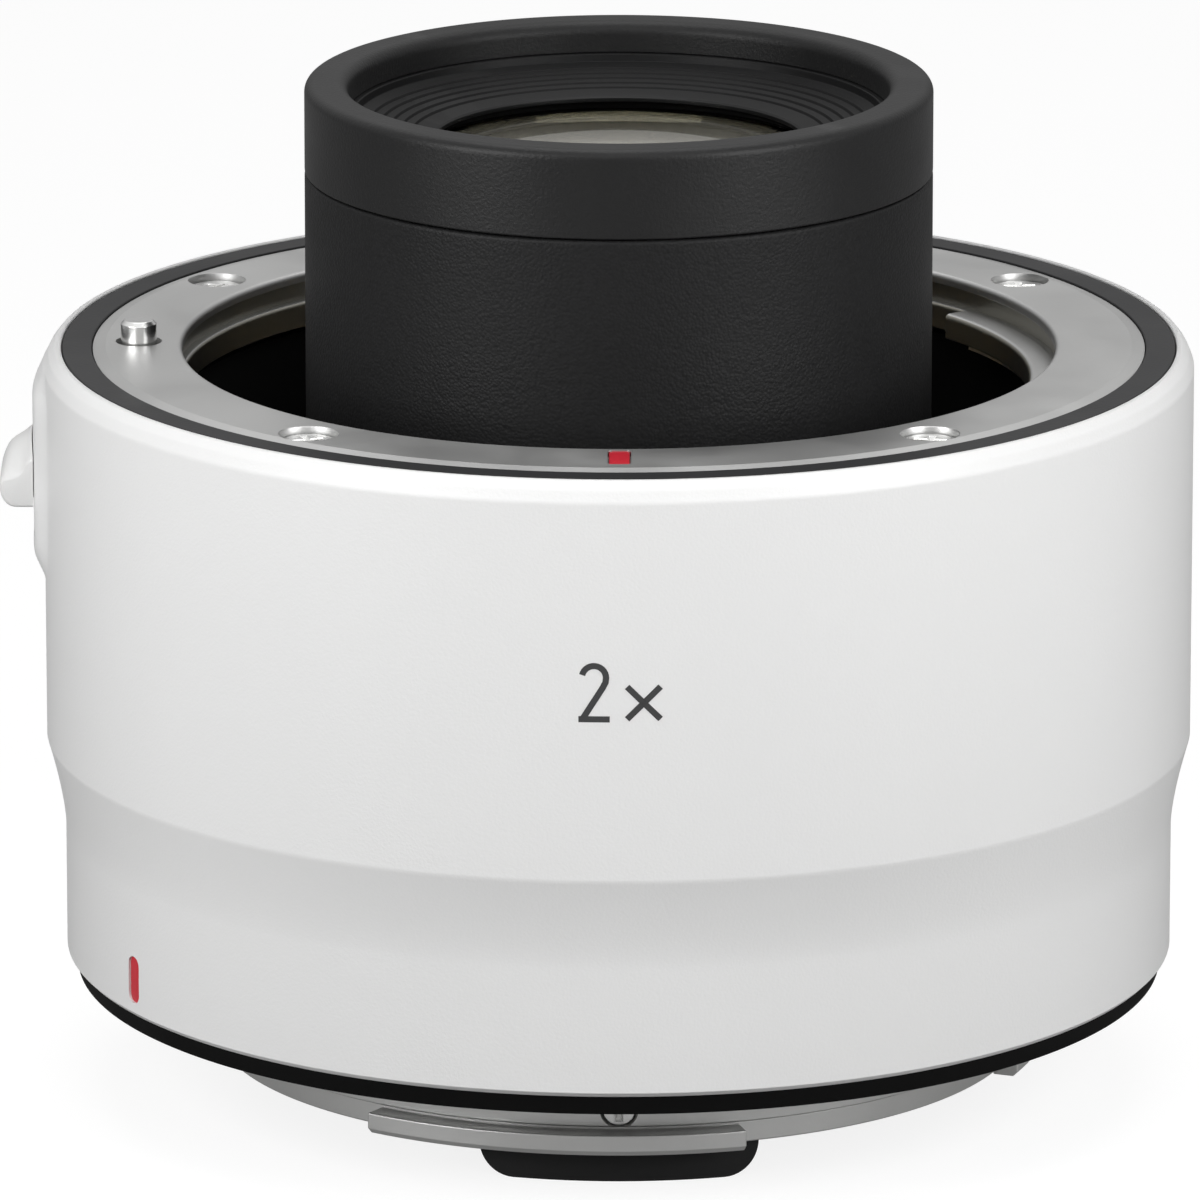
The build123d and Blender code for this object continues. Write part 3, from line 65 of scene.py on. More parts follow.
class Graph:
    """A node tree that is being built: a material's, the world's or a node group's."""

    def __init__(self, tree: Tree) -> None:
        """Takes the tree, and a group's two ends where it has them."""
        self.tree = tree
        self.source, self.result = tree.nodes.get("Group Input"), tree.nodes.get("Group Output")

    @classmethod
    def group(cls, kind: str, name: str, inputs: dict[str, float | str], outputs: dict[str, str]) -> "Graph":
        """Makes an empty node group.

        Args:
            kind: the type of its tree.
            name: its name.
            inputs: each input's default number, or else its socket type.
            outputs: each output's socket type.

        Returns:
            The graph, with a Group Input and a Group Output node in it.
        """
        tree = bpy.data.node_groups.new(name, kind)
        for label, value in inputs.items():
            number = isinstance(value, float)
            socket_type = "NodeSocketFloat" if number else value
            socket = tree.interface.new_socket(label, in_out="INPUT", socket_type=socket_type)
            if number:
                socket.default_value = value
        for label, socket_type in outputs.items():
            tree.interface.new_socket(label, in_out="OUTPUT", socket_type=socket_type)
        tree.nodes.new("NodeGroupInput")
        tree.nodes.new("NodeGroupOutput")
        return cls(tree)

    @property
    def given(self) -> bpy.types.NodeOutputs:
        """The sockets that bring in a group's inputs."""
        return self.source.outputs

    def feed(self, node: Node, inputs: dict[str | int, object]) -> None:
        """Links sockets to a node's inputs, or sets plain values on them."""
        for label, value in inputs.items():
            if isinstance(value, Socket):
                self.tree.links.new(value, node.inputs[label])
            else:
                node.inputs[label].default_value = value

    def node(
        self, kind: str, inputs: Optional[dict[str | int, object]] = None, **settings: object
    ) -> bpy.types.NodeOutputs:
        """Adds a node.

        Args:
            kind: the node's type.
            inputs: a socket or a plain value for each input, by name or place.
            settings: the node's properties, set before its inputs.

        Returns:
            The node's outputs.
        """
        node = self.tree.nodes.new(kind)
        for name, value in settings.items():
            setattr(node, name, value)
        self.feed(node, inputs or {})
        return node.outputs

    def math(self, operation: str, *values: object) -> Socket:
        """Adds a Math node and returns its output."""
        return self.node("ShaderNodeMath", dict(enumerate(values)), operation=operation)[0]

    def spread(
        self, value: Socket, ends: Sequence[object], new_ends: Sequence[object] = (0.0, 1.0), **settings: object
    ) -> Socket:
        """Maps a value from one pair of ends to another and returns the result."""
        labels = ("Value", "From Min", "From Max", "To Min", "To Max")
        inputs = dict(zip(labels, (value, *ends, *new_ends)))
        return self.node("ShaderNodeMapRange", inputs, **settings)["Result"]

    def own(self) -> Socket:
        """Adds the piece's own coordinates and returns their socket."""
        return self.node("ShaderNodeTexCoord")["Object"]

    def noise(self, **inputs: object) -> Socket:
        """Adds a noise in the piece's own coordinates and returns its factor."""
        return self.node("ShaderNodeTexNoise", {"Vector": self.own(), **inputs})["Fac"]

    def place(self, group: Tree, **inputs: object) -> bpy.types.NodeOutputs:
        """Places a shared group and returns its outputs."""
        return self.node("ShaderNodeGroup", inputs, node_tree=group)

    def end(self, results: dict[str | int, Socket]) -> Tree:
        """Links what a group gives out and returns its tree."""
        self.feed(self.result, results)
        return self.tree


# ---------------------------------------------------------------- finishes


class Pattern(Enum):
    """The kinds of surface relief that a finish may carry."""

    GRAIN = "grain"
    LEATHER = "leather"


class Effects:
    """The shader node groups that the finishes share, each built once."""

    def __init__(self) -> None:
        """Builds the groups."""
        self.grain = self._grain()
        self.leather = self._leather()
        self.turned = self._turned()
        self.handling = self._handling()
        self.wear = self._wear()

    @staticmethod
    def _start(name: str, inputs: dict[str, float], *outputs: str) -> Graph:
        """Starts a group whose inputs and outputs are all numbers."""
        return Graph.group("ShaderNodeTree", name, inputs, dict.fromkeys(outputs, "NodeSocketFloat"))

    def _grain(self) -> Tree:
        """Fine sprayed or moulded grain: a height and a tone around one half."""
        graph = self._start("fine_grain", {"Scale": 4000.0, "Detail": 2.0}, "Height", "Tone")
        fine = graph.noise(Scale=graph.given["Scale"], Detail=graph.given["Detail"])
        broad = graph.noise(Scale=160.0, Detail=3.0)
        tone = graph.math("MULTIPLY_ADD", broad, 0.5, graph.math("MULTIPLY", fine, 0.5))
        return graph.end({"Height": fine, "Tone": tone})

    def _leather(self) -> Tree:
        """Pebbled grain of a textured black coating: rounded cells of uneven size."""
        graph = self._start("pebbled_grain", {"Scale": 2600.0}, "Height", "Tone")
        scale = graph.given["Scale"]
        cells = graph.node(
            "ShaderNodeTexVoronoi",
            {"Vector": graph.own(), "Scale": scale, "Smoothness": 0.35, "Randomness": 1.0}, feature="SMOOTH_F1",
        )
        uneven = graph.noise(Scale=graph.math("MULTIPLY", scale, 0.37))
        height = graph.math("MULTIPLY_ADD", uneven, 0.6, graph.math("SUBTRACT", 1.0, cells["Distance"]))
        return graph.end({"Height": height, "Tone": graph.math("MULTIPLY", height, 0.7)})

    def _turned(self) -> Tree:
        """Fine lines left by a lathe, round the piece's axis."""
        graph = self._start("turned_lines", {"Scale": 9000.0}, "Height")
        at = graph.node("ShaderNodeSeparateXYZ", {0: graph.own()})
        across = graph.math("MULTIPLY_ADD", at["Y"], at["Y"], graph.math("MULTIPLY", at["X"], at["X"]))
        reach = graph.math("ADD", graph.math("SQRT", across), at["Z"])
        inputs = {"W": reach, "Scale": graph.given["Scale"], "Detail": 3.0}
        return graph.end({"Height": graph.node("ShaderNodeTexNoise", inputs, noise_dimensions="1D")["Fac"]})

    def _handling(self) -> Tree:
        """Soft uneven sheen from handling: a mask from 0 to 1."""
        graph = self._start("handling", {"Scale": 90.0}, "Mask")
        cloud = graph.noise(Scale=graph.given["Scale"], Detail=5.0, Distortion=0.6)
        return graph.end({"Mask": graph.spread(cloud, (0.32, 0.68))})

    def _wear(self) -> Tree:
        """Wear along edges: a mask that is 1 on a sharp outer edge."""
        graph = self._start("edge_wear", {"Start": 0.53, "Full": 0.62}, "Mask")
        edge = graph.math("SUBTRACT", graph.node("ShaderNodeNewGeometry")["Pointiness"], 0.025)
        broken = graph.math("MULTIPLY_ADD", graph.noise(Scale=1400.0), 0.05, edge)
        return graph.end({"Mask": graph.spread(broken, (graph.given["Start"], graph.given["Full"]))})


@dataclass(frozen=True)
class Finish:
    """One surface finish, with the relief and the variation that the real one shows."""

    name: str
    colour: Corner
    roughness: float
    metallic: float = 0.0
    pattern: Pattern = Pattern.GRAIN
    scale: float = 4000.0
    depth: float = 10e-6
    tone_spread: float = 0.04
    sheen_spread: float = 0.05
    lathe_depth: float = 0.0
    wear: float = 0.0
    wear_colour: Corner = (0.5, 0.5, 0.5)
    coat: float = 0.0
    coat_roughness: float = 0.15
    specular: float = 0.5
    transmission: float = 0.0
    ior: float = 1.5
    tint: Corner = (1.0, 1.0, 1.0)
    edge_round: float = 0.0

    def make(self, effects: Effects) -> bpy.types.Material:
        """Builds the finish's material.

        Args:
            effects: the shared shader node groups.

        Returns:
            The material, with its shader in the material itself.
        """
        material = bpy.data.materials.new(self.name)
        material.use_nodes = True
        graph = Graph(material.node_tree)
        pattern = effects.leather if self.pattern is Pattern.LEATHER else effects.grain
        relief = graph.place(pattern, Scale=self.scale)
        sheen = (max(0.0, self.roughness - self.sheen_spread), min(1.0, self.roughness + self.sheen_spread))
        inputs = {
            "Metallic": self.metallic, "Specular IOR Level": self.specular, "Coat Weight": self.coat,
            "Coat Roughness": self.coat_roughness, "Transmission Weight": self.transmission, "IOR": self.ior,
            "Specular Tint": (*self.tint, 1.0), "Base Color": self._colour(graph, relief["Tone"], effects),
            "Roughness": graph.spread(graph.place(effects.handling)["Mask"], (0.0, 1.0), sheen),
        }
        if not self.transmission:
            inputs["Normal"] = self._normal(graph, relief["Height"], effects)
        graph.feed(graph.tree.nodes["Principled BSDF"], inputs)
        return material

    def _colour(self, graph: Graph, tone: Socket, effects: Effects) -> Socket:
        """Varies the base colour a little with the relief, and wears it along the edges."""
        low = (*(c * (1 - self.tone_spread) for c in self.colour), 1.0)
        high = (*(min(1.0, c * (1 + self.tone_spread)) for c in self.colour), 1.0)
        mix = graph.node("ShaderNodeMix", {"A": low, "B": high, "Factor": tone}, data_type="RGBA")
        if self.wear:
            share = graph.math("MULTIPLY", graph.place(effects.wear)["Mask"], self.wear)
            worn = {"A": mix["Result"], "B": (*self.wear_colour, 1.0), "Factor": share}
            mix = graph.node("ShaderNodeMix", worn, data_type="RGBA")
        return mix["Result"]

    def _normal(self, graph: Graph, height: Socket, effects: Effects) -> Socket:
        """Adds the grain and, on turned metal, the lathe's lines as bumps."""
        bump = {"Distance": self.depth, "Height": height}
        if self.edge_round:
            bump["Normal"] = graph.node("ShaderNodeBevel", {"Radius": self.edge_round})["Normal"]
        normal = graph.node("ShaderNodeBump", bump)["Normal"]
        if self.lathe_depth:
            lines = graph.place(effects.turned)["Height"]
            bump = {"Distance": self.lathe_depth, "Height": lines, "Normal": normal}
            normal = graph.node("ShaderNodeBump", bump)["Normal"]
        return normal


FINISHES: dict[str, Finish] = {
    "white_paint": Finish(
        "satin_white_enamel", (0.80, 0.80, 0.797), 0.45, scale=5600.0, depth=12e-6, tone_spread=0.01,
        sheen_spread=0.03, specular=0.45,
    ),
    "white_lever": Finish(
        "white_lever_moulding", (0.73, 0.73, 0.725), 0.42, scale=2400.0, depth=4e-6, tone_spread=0.01,
        specular=0.4,
    ),
    "bayonet_metal": Finish(
        "satin_bayonet_steel", (0.49, 0.49, 0.485), 0.44, metallic=1.0, scale=2600.0, depth=2e-6,
        tone_spread=0.03, lathe_depth=3.5e-6,
    ),
    # Painted light: a lighter copy of the bayonet steel for the camera ring's lit faces; the faces that the flange
    # shades keep the darker bayonet_metal.
    "bayonet_lit_copy": Finish(
        "painted_light_camera_bayonet", (0.68, 0.68, 0.67), 0.40, metallic=1.0, scale=2600.0, depth=2e-6,
        tone_spread=0.03, lathe_depth=3.5e-6,
    ),
    # Painted shade: a darker copy of the bayonet steel for the faces inside the lens mount's throat.
    "bayonet_recess": Finish(
        "painted_shade_bayonet_steel", (0.33, 0.32, 0.28), 0.38, metallic=1.0, depth=2e-6, lathe_depth=2e-6
    ),
    "dark_trim": Finish(
        "grey_trim_enamel", (0.022, 0.022, 0.023), 0.46, scale=3600.0, depth=8e-6, tone_spread=0.06,
        specular=0.2,
    ),
    "red_mark": Finish("red_inlay", (0.56, 0.014, 0.03), 0.38, scale=3000.0, depth=4e-6),
    "screw_steel": Finish("nickelled_screw_steel", (0.80, 0.80, 0.79), 0.24, metallic=1.0, depth=2e-6),
    "spring_steel": Finish("spring_steel", (0.55, 0.55, 0.54), 0.3, metallic=1.0, depth=2e-6),
    "frame_alloy": Finish(
        "machined_alloy", (0.42, 0.42, 0.43), 0.45, metallic=1.0, depth=3e-6, lathe_depth=3e-6
    ),
    "black_anodised": Finish(
        "black_anodised_alloy", (0.003, 0.003, 0.003), 0.65, depth=3e-6, specular=0.05
    ),
    "tube_black": Finish(
        "pebbled_black_coating", (0.0105, 0.0105, 0.0108), 0.54, pattern=Pattern.LEATHER, scale=5200.0,
        depth=26e-6, tone_spread=0.3, sheen_spread=0.07, specular=0.17,
    ),
    "cap_black": Finish(
        "satin_black_cap", (0.0140, 0.0140, 0.0142), 0.42, scale=5200.0, depth=24e-6, tone_spread=0.24,
        wear=0.3, wear_colour=(0.05, 0.05, 0.05), specular=0.21,
    ),
    "liner_black": Finish("flocked_black_liner", (0.004, 0.004, 0.004), 0.85, specular=0.2),
    "block_black": Finish(
        "moulded_black", (0.0135, 0.0135, 0.0138), 0.5, specular=0.28, scale=3000.0, depth=14e-6,
        tone_spread=0.1, edge_round=0.00015,
    ),
    "contact_gold": Finish("gold_plate", (0.83, 0.58, 0.24), 0.22, metallic=1.0, depth=1e-6),
    "board_green": Finish("green_board", (0.012, 0.10, 0.045), 0.35, depth=6e-6, coat=0.3),
    "flex_amber": Finish("amber_film", (0.42, 0.17, 0.03), 0.35, depth=2e-6, coat=0.2),
    "optical_glass": Finish(
        "coated_glass", (0.80, 0.78, 0.70), 0.02, transmission=1.0, sheen_spread=0.01, tone_spread=0.01,
        specular=0.22, tint=(0.90, 0.86, 0.62),
    ),
    # Painted shade: a darker, dimmer copy of the glass for the elements deep in the tube.
    "inner_glass": Finish(
        "coated_glass_painted_shade", (0.45, 0.415, 0.325), 0.02, transmission=1.0, sheen_spread=0.01,
        tone_spread=0.01, specular=0.06, tint=(0.90, 0.84, 0.62),
    ),
    "rubber_black": Finish("matt_black_rubber", (0.004, 0.004, 0.004), 0.72, scale=2500.0, specular=0.08),
    "baffle_black": Finish(
        "ribbed_black_baffle", (0.005, 0.005, 0.0052), 0.45, depth=4e-6, wear=0.3,
        wear_colour=(0.02, 0.02, 0.02), specular=0.16,
    ),
    "dark_print": Finish("dark_grey_print", (0.042, 0.042, 0.043), 0.5, depth=3e-6),
}


class Paintbox:
    """Makes each finish's material once and hands it out by its slot."""

    def __init__(self) -> None:
        """Builds the shared effects."""
        self.effects = Effects()
        self.made: dict[str, bpy.types.Material] = {}

    def __getitem__(self, slot: str) -> bpy.types.Material:
        """Returns the material of a slot, made on first use."""
        if slot not in self.made:
            self.made[slot] = FINISHES[slot].make(self.effects)
        return self.made[slot]


# ---------------------------------------------------------------- outlines and meshes


def around(radius: float, azimuth: float, height: float = 0.0) -> Vector:
    """Returns the point, in mm, at a radius and an azimuth counted from the front towards +X."""
    angle = math.radians(azimuth)
    return Vector((radius * math.sin(angle), -radius * math.cos(angle), height))


def rounded(
    corners: Sequence[Corner], steps: int = 4, closed: bool = True, room: float = 0.44, hold: float = 0.05
) -> list[Point2]:
    """Rounds the corners of an outline and holds the flats beside them.

    Args:
        corners: x, y and the radius of each corner, in mm.
        steps: how many chords a rounded corner gets.
        closed: whether the last corner joins the first.
        room: the share of a side that a rounding may take.
        hold: the share of a side that stays flat beside a rounding.

    Returns:
        The outline's points in order.
    """
    points: list[Point2] = []
    count = len(corners)
    for place, (x, y, radius) in enumerate(corners):
        if radius <= 0 or (not closed and place in (0, count - 1)):
            points.append((x, y))
            continue
        here = Vector((x, y))
        back = Vector(corners[place - 1][:2]) - here
        ahead = Vector(corners[(place + 1) % count][:2]) - here
        back_length, ahead_length = back.length, ahead.length
        back.normalize()
        ahead.normalize()
        opening = back.angle(ahead)
        reach = min(radius / math.tan(opening / 2), room * back_length, room * ahead_length)
        radius = reach * math.tan(opening / 2)
        centre = here + (back + ahead).normalized() * (radius / math.sin(opening / 2))
        start, end = here + back * reach - centre, here + ahead * reach - centre
        turn = math.copysign(math.pi - opening, start.x * end.y - start.y * end.x)
        first = here + back * (reach + min(hold * back_length, 0.3 * reach))
        last = here + ahead * (reach + min(hold * ahead_length, 0.3 * reach))
        points.append((first.x, first.y))
        for step in range(steps + 1):
            cos, sin = math.cos(turn * step / steps), math.sin(turn * step / steps)
            points.append((centre.x + start.x * cos - start.y * sin, centre.y + start.x * sin + start.y * cos))
        points.append((last.x, last.y))
    return points


def rectangle(half: float, low: float, high: float, radius: float, steps: int = 4) -> list[Point2]:
    """Returns a rounded rectangle, from -half to half across and from low to high."""
    corners = ((-half, low), (half, low), (half, high), (-half, high))
    return rounded([(x, y, radius) for x, y in corners], steps)


def inset(outline: Sequence[Point2], distance: float) -> list[Point2]:
    """Moves each point of a closed outline inwards by a small distance."""
    if not distance:
        return list(outline)
    area = sum(a[0] * b[1] - b[0] * a[1] for a, b in zip([outline[-1], *outline], outline))
    side = 1.0 if area > 0 else -1.0
    moved = []
    for place, point in enumerate(outline):
        here = Vector(point)
        before, after = here - Vector(outline[place - 1]), Vector(outline[(place + 1) % len(outline)]) - here
        along = before.normalized() + after.normalized()
        if along.length < 1e-9:
            moved.append(point)
            continue
        along.normalize()
        moved.append((here.x - side * along.y * distance, here.y + side * along.x * distance))
    return moved


def eased(end: float, radius: float, steps: int = 4, hold: float = 1.5) -> list[Point2]:
    """Lists stations up to a rounded end.

    Args:
        end: the level of the end.
        radius: the rounding of its edge, or none.
        steps: chords in the rounding.
        hold: where the first station lies, in radii before the end.

    Returns:
        Pairs of a level and an inset.
    """
    if not radius:
        return [(end, 0.0)]
    angles = [math.pi / 2 * step / steps for step in range(steps + 1)]
    return [(end - radius * hold, 0.0)] + [
        (end - radius + radius * math.sin(angle), radius * (1 - math.cos(angle))) for angle in angles
    ]


def both_ends(half: float, radius: float, steps: int = 4) -> list[Point2]:
    """Lists stations along a block with two rounded ends, from -half to half."""
    upper = eased(half, radius, steps, 1.4)
    return [(-level, drawn) for level, drawn in reversed(upper)] + upper


def finished_mesh(name: str, shape: bmesh.types.BMesh) -> Mesh:
    """Merges doubles, turns the faces outwards and shades the result smooth up to the sharp angle."""
    bmesh.ops.remove_doubles(shape, verts=shape.verts, dist=2e-7)
    bmesh.ops.dissolve_degenerate(shape, edges=shape.edges, dist=1e-7)
    bmesh.ops.recalc_face_normals(shape, faces=shape.faces)
    for face in shape.faces:
        face.smooth = True
    mesh = bpy.data.meshes.new(name)
    shape.to_mesh(mesh)
    shape.free()
    mesh.set_sharp_from_angle(angle=math.radians(SHARP_ANGLE))
    return mesh


def joined(name: str, meshes: Iterable[Mesh]) -> Mesh:
    """Joins meshes into one tidy mesh and removes them."""
    shape = bmesh.new()
    for mesh in meshes:
        shape.from_mesh(mesh)
        bpy.data.meshes.remove(mesh)
    return finished_mesh(name, shape)


def loft(name: str, sections: Sequence[Sequence[Vector]]) -> Mesh:
    """Skins closed sections, in mm, into one closed mesh in metres.

    Args:
        name: the mesh's name.
        sections: the sections in order, each with the same number of points.

    Returns:
        The mesh, with its faces pointing outwards.
    """
    shape = bmesh.new()
    rings = [[shape.verts.new(point * MM) for point in section] for section in sections]
    count = len(rings[0])
    for near, far in zip(rings, rings[1:]):
        for i in range(count):
            j = (i + 1) % count
            shape.faces.new((near[i], near[j], far[j], far[i]))
    shape.faces.new(list(reversed(rings[0])))
    shape.faces.new(rings[-1])
    return finished_mesh(name, shape)


def block(
    name: str, outline: Sequence[Point2], stations: Sequence[Point2],
    lay: Callable[[float, float, float], Vector],
) -> Mesh:
    """Lofts one outline through stations.

    Args:
        name: the mesh's name.
        outline: the closed outline.
        stations: the level and the inset of each section.
        lay: gives the place, in mm, of an outline's point at a level.

    Returns:
        The mesh.
    """
    return loft(name, [[lay(x, y, level) for x, y in inset(outline, drawn)] for level, drawn in stations])


def swept(
    name: str, outline: Sequence[Point2], start: float, sweep: float, end_round: float, step: float = 2.0
) -> Mesh:
    """Sweeps an outline of radius and height, in mm, through an arc round the axis.

    Args:
        name: the mesh's name.
        outline: closed outline of radius and height.
        start: the azimuth where the arc starts, in degrees.
        sweep: the arc's angle.
        end_round: the rounding of the two end edges.
        step: the widest angle between two sections.

    Returns:
        The closed mesh in metres.
    """
    radius = sum(point[0] for point in outline) / len(outline)
    stations = both_ends(math.radians(sweep) * radius / 2, end_round)
    filled: list[Point2] = []
    for (here, drawn), (there, _) in zip(stations, stations[1:]):
        filled.append((here, drawn))
        extra = int(math.degrees((there - here) / radius) / step)
        filled += [(here + (there - here) * (i + 1) / (extra + 1), 0.0) for i in range(extra)]
    filled.append(stations[-1])
    middle = start + sweep / 2
    return block(name, outline, filled, lambda r, z, level: around(r, middle + math.degrees(level / radius), z))


def put(mesh: Mesh, name: str) -> bpy.types.Object:
    """Makes an object of a mesh and links it to the scene."""
    piece = bpy.data.objects.new(name, mesh)
    bpy.context.scene.collection.objects.link(piece)
    return piece


def drop(piece: bpy.types.Object) -> None:
    """Removes a helper object, and its mesh where nothing else uses it."""
    mesh = piece.data
    bpy.data.objects.remove(piece)
    if mesh.users == 0:
        bpy.data.meshes.remove(mesh)


def bake(piece: bpy.types.Object, name: str) -> Mesh:
    """Turns an object with live modifiers into a plain tidy mesh, and removes the object."""
    bpy.context.view_layer.update()
    graph = bpy.context.evaluated_depsgraph_get()
    mesh = bpy.data.meshes.new_from_object(piece.evaluated_get(graph))
    drop(piece)
    return joined(name, [mesh])


def carve(mesh: Mesh, tools: Iterable[Mesh]) -> Mesh:
    """Cuts tools out of a mesh, one exact boolean each, and uses them all up."""
    name = mesh.name
    for tool in tools:
        body, cutter = put(mesh, "carved_helper"), put(tool, "tool_helper")
        modifier = body.modifiers.new("cut", "BOOLEAN")
        modifier.operation, modifier.solver, modifier.object = "DIFFERENCE", "EXACT", cutter
        mesh = bake(body, name)
        drop(cutter)
    return mesh


# ---------------------------------------------------------------- geometry nodes


def closed_tree(graph: Graph, geometry: Socket) -> Tree:
    """Ends a geometry tree in smooth shading, Realize Instances and Set Material."""
    for kind in ("GeometryNodeSetShadeSmooth", "GeometryNodeRealizeInstances"):
        geometry = graph.node(kind, {"Geometry": geometry})["Geometry"]
    inputs = {"Geometry": geometry, "Material": graph.given["Finish"]}
    return graph.end({0: graph.node("GeometryNodeSetMaterial", inputs)["Geometry"]})


def turned_tree() -> Tree:
    """Builds the tree that turns a profile round the axis, with an optional raised pad on it.

    The profile is the piece's own mesh: its points hold a radius in X and a height in Z. The pad is a
    rounded rectangle laid round the turned wall, raised with a soft edge. Crowding draws the columns
    of the grid together where the pad is.

    Returns:
        The tree.
    """
    numbers = (
        "Facing", "Crowding", "Pad Height", "Pad Radius", "Pad Half Width", "Pad Bottom", "Pad Top",
        "Pad Corner", "Pad Softness",
    )
    graph = Graph.group(
        "GeometryNodeTree", "turned_piece",
        {"Profile": "NodeSocketGeometry", "Segments": "NodeSocketInt", **dict.fromkeys(numbers, 0.0),
         "Finish": "NodeSocketMaterial"},
        {"Turned": "NodeSocketGeometry"},
    )
    given, node, calc = graph.given, graph.node, graph.math
    corner, wall = given["Pad Corner"], given["Pad Radius"]
    count = node("GeometryNodeAttributeDomainSize", {"Geometry": given["Profile"]})["Point Count"]
    columns = calc("ADD", given["Segments"], 1.0)
    grid = node(
        "GeometryNodeMeshGrid", {"Size X": 1.0, "Size Y": 1.0, "Vertices X": count, "Vertices Y": columns}
    )
    position = node("GeometryNodeInputPosition")[0]
    here = node("ShaderNodeSeparateXYZ", {0: position})
    row = calc("MULTIPLY", calc("ADD", here["X"], 0.5), calc("SUBTRACT", count, 1.0))
    index = node("FunctionNodeFloatToInt", {0: row}, rounding_mode="ROUND")[0]
    sample = node(
        "GeometryNodeSampleIndex", {"Geometry": given["Profile"], "Value": position, "Index": index},
        data_type="FLOAT_VECTOR", domain="POINT",
    )
    drawn = node("ShaderNodeSeparateXYZ", {0: sample[0]})
    radius, height = drawn["X"], drawn["Z"]
    turn = calc("MULTIPLY", here["Y"], math.tau)
    turn = calc("SUBTRACT", turn, calc("MULTIPLY", calc("SINE", turn), given["Crowding"]))
    middle = calc("MULTIPLY", calc("ADD", given["Pad Bottom"], given["Pad Top"]), 0.5)
    flat = node(
        "ShaderNodeCombineXYZ", {"X": calc("MULTIPLY", turn, wall), "Y": calc("SUBTRACT", height, middle)}
    )
    away = node("ShaderNodeVectorMath", {0: flat[0]}, operation="ABSOLUTE")
    tall = calc("MULTIPLY", calc("SUBTRACT", given["Pad Top"], given["Pad Bottom"]), 0.5)
    wide = calc("SUBTRACT", given["Pad Half Width"], corner)
    half = node("ShaderNodeCombineXYZ", {"X": wide, "Y": calc("SUBTRACT", tall, corner)})
    past = node("ShaderNodeVectorMath", {0: away[0], 1: half[0]}, operation="SUBTRACT")
    beyond = node("ShaderNodeVectorMath", {0: past[0], 1: (0.0, 0.0, 0.0)}, operation="MAXIMUM")
    length = node("ShaderNodeVectorMath", {0: beyond[0]}, operation="LENGTH")["Value"]
    soft = graph.spread(
        calc("SUBTRACT", length, corner), (calc("MULTIPLY", given["Pad Softness"], -1.0), 0.0), (1.0, 0.0),
        interpolation_type="SMOOTHSTEP",
    )
    outer = calc("GREATER_THAN", radius, calc("MULTIPLY", wall, 0.985))
    raised = calc("MULTIPLY", calc("MULTIPLY", soft, outer), given["Pad Height"])
    reach = calc("ADD", radius, raised)
    angle = calc("ADD", turn, given["Facing"])
    across = calc("MULTIPLY", calc("COSINE", angle), reach)
    place = node("ShaderNodeCombineXYZ", {
        "X": calc("MULTIPLY", calc("SINE", angle), reach), "Y": calc("MULTIPLY", across, -1.0), "Z": height,
    })
    moved = node("GeometryNodeSetPosition", {"Geometry": grid["Mesh"], "Position": place[0]})["Geometry"]
    return closed_tree(
        graph, node("GeometryNodeMergeByDistance", {"Geometry": moved, "Distance": 2e-7})["Geometry"]
    )


def scatter_tree() -> Tree:
    """Builds the tree that sets copies of one shape on the points of the piece's own mesh.

    Each point carries the turn of its copy in an attribute named turn.

    Returns:
        The tree.
    """
    graph = Graph.group(
        "GeometryNodeTree", "repeated_piece",
        {"Places": "NodeSocketGeometry", "Shape": "NodeSocketObject", "Size": 0.0,
         "Finish": "NodeSocketMaterial"},
        {"Repeated": "NodeSocketGeometry"},
    )
    given, node = graph.given, graph.node
    shape = node("GeometryNodeObjectInfo", {"Object": given["Shape"]}, transform_space="ORIGINAL")
    points = node("GeometryNodeMeshToPoints", {"Mesh": given["Places"]})
    turn = node("GeometryNodeInputNamedAttribute", {"Name": "turn"}, data_type="FLOAT_VECTOR")
    euler = node("FunctionNodeEulerToRotation", {0: turn["Attribute"]})
    spread = node("GeometryNodeInstanceOnPoints", {
        "Points": points["Points"], "Instance": shape["Geometry"], "Rotation": euler[0],
        "Scale": given["Size"],
    })
    return closed_tree(graph, spread["Instances"])


def run_tree(name: str, mesh: Mesh, tree: Tree, inputs: dict[str, object]) -> Mesh:
    """Runs a Geometry Nodes tree on a mesh and bakes the result.

    Args:
        name: the name of the mesh that comes out.
        mesh: the mesh that goes in.
        tree: the tree.
        inputs: the tree's inputs by name.

    Returns:
        The baked mesh.
    """
    helper = put(mesh, name + "_helper")
    modifier = helper.modifiers.new("shape", "NODES")
    modifier.node_group = tree
    for item in tree.interface.items_tree:
        if item.item_type == "SOCKET" and item.in_out == "INPUT" and item.name in inputs:
            modifier[item.identifier] = inputs[item.name]
    return bake(helper, name)


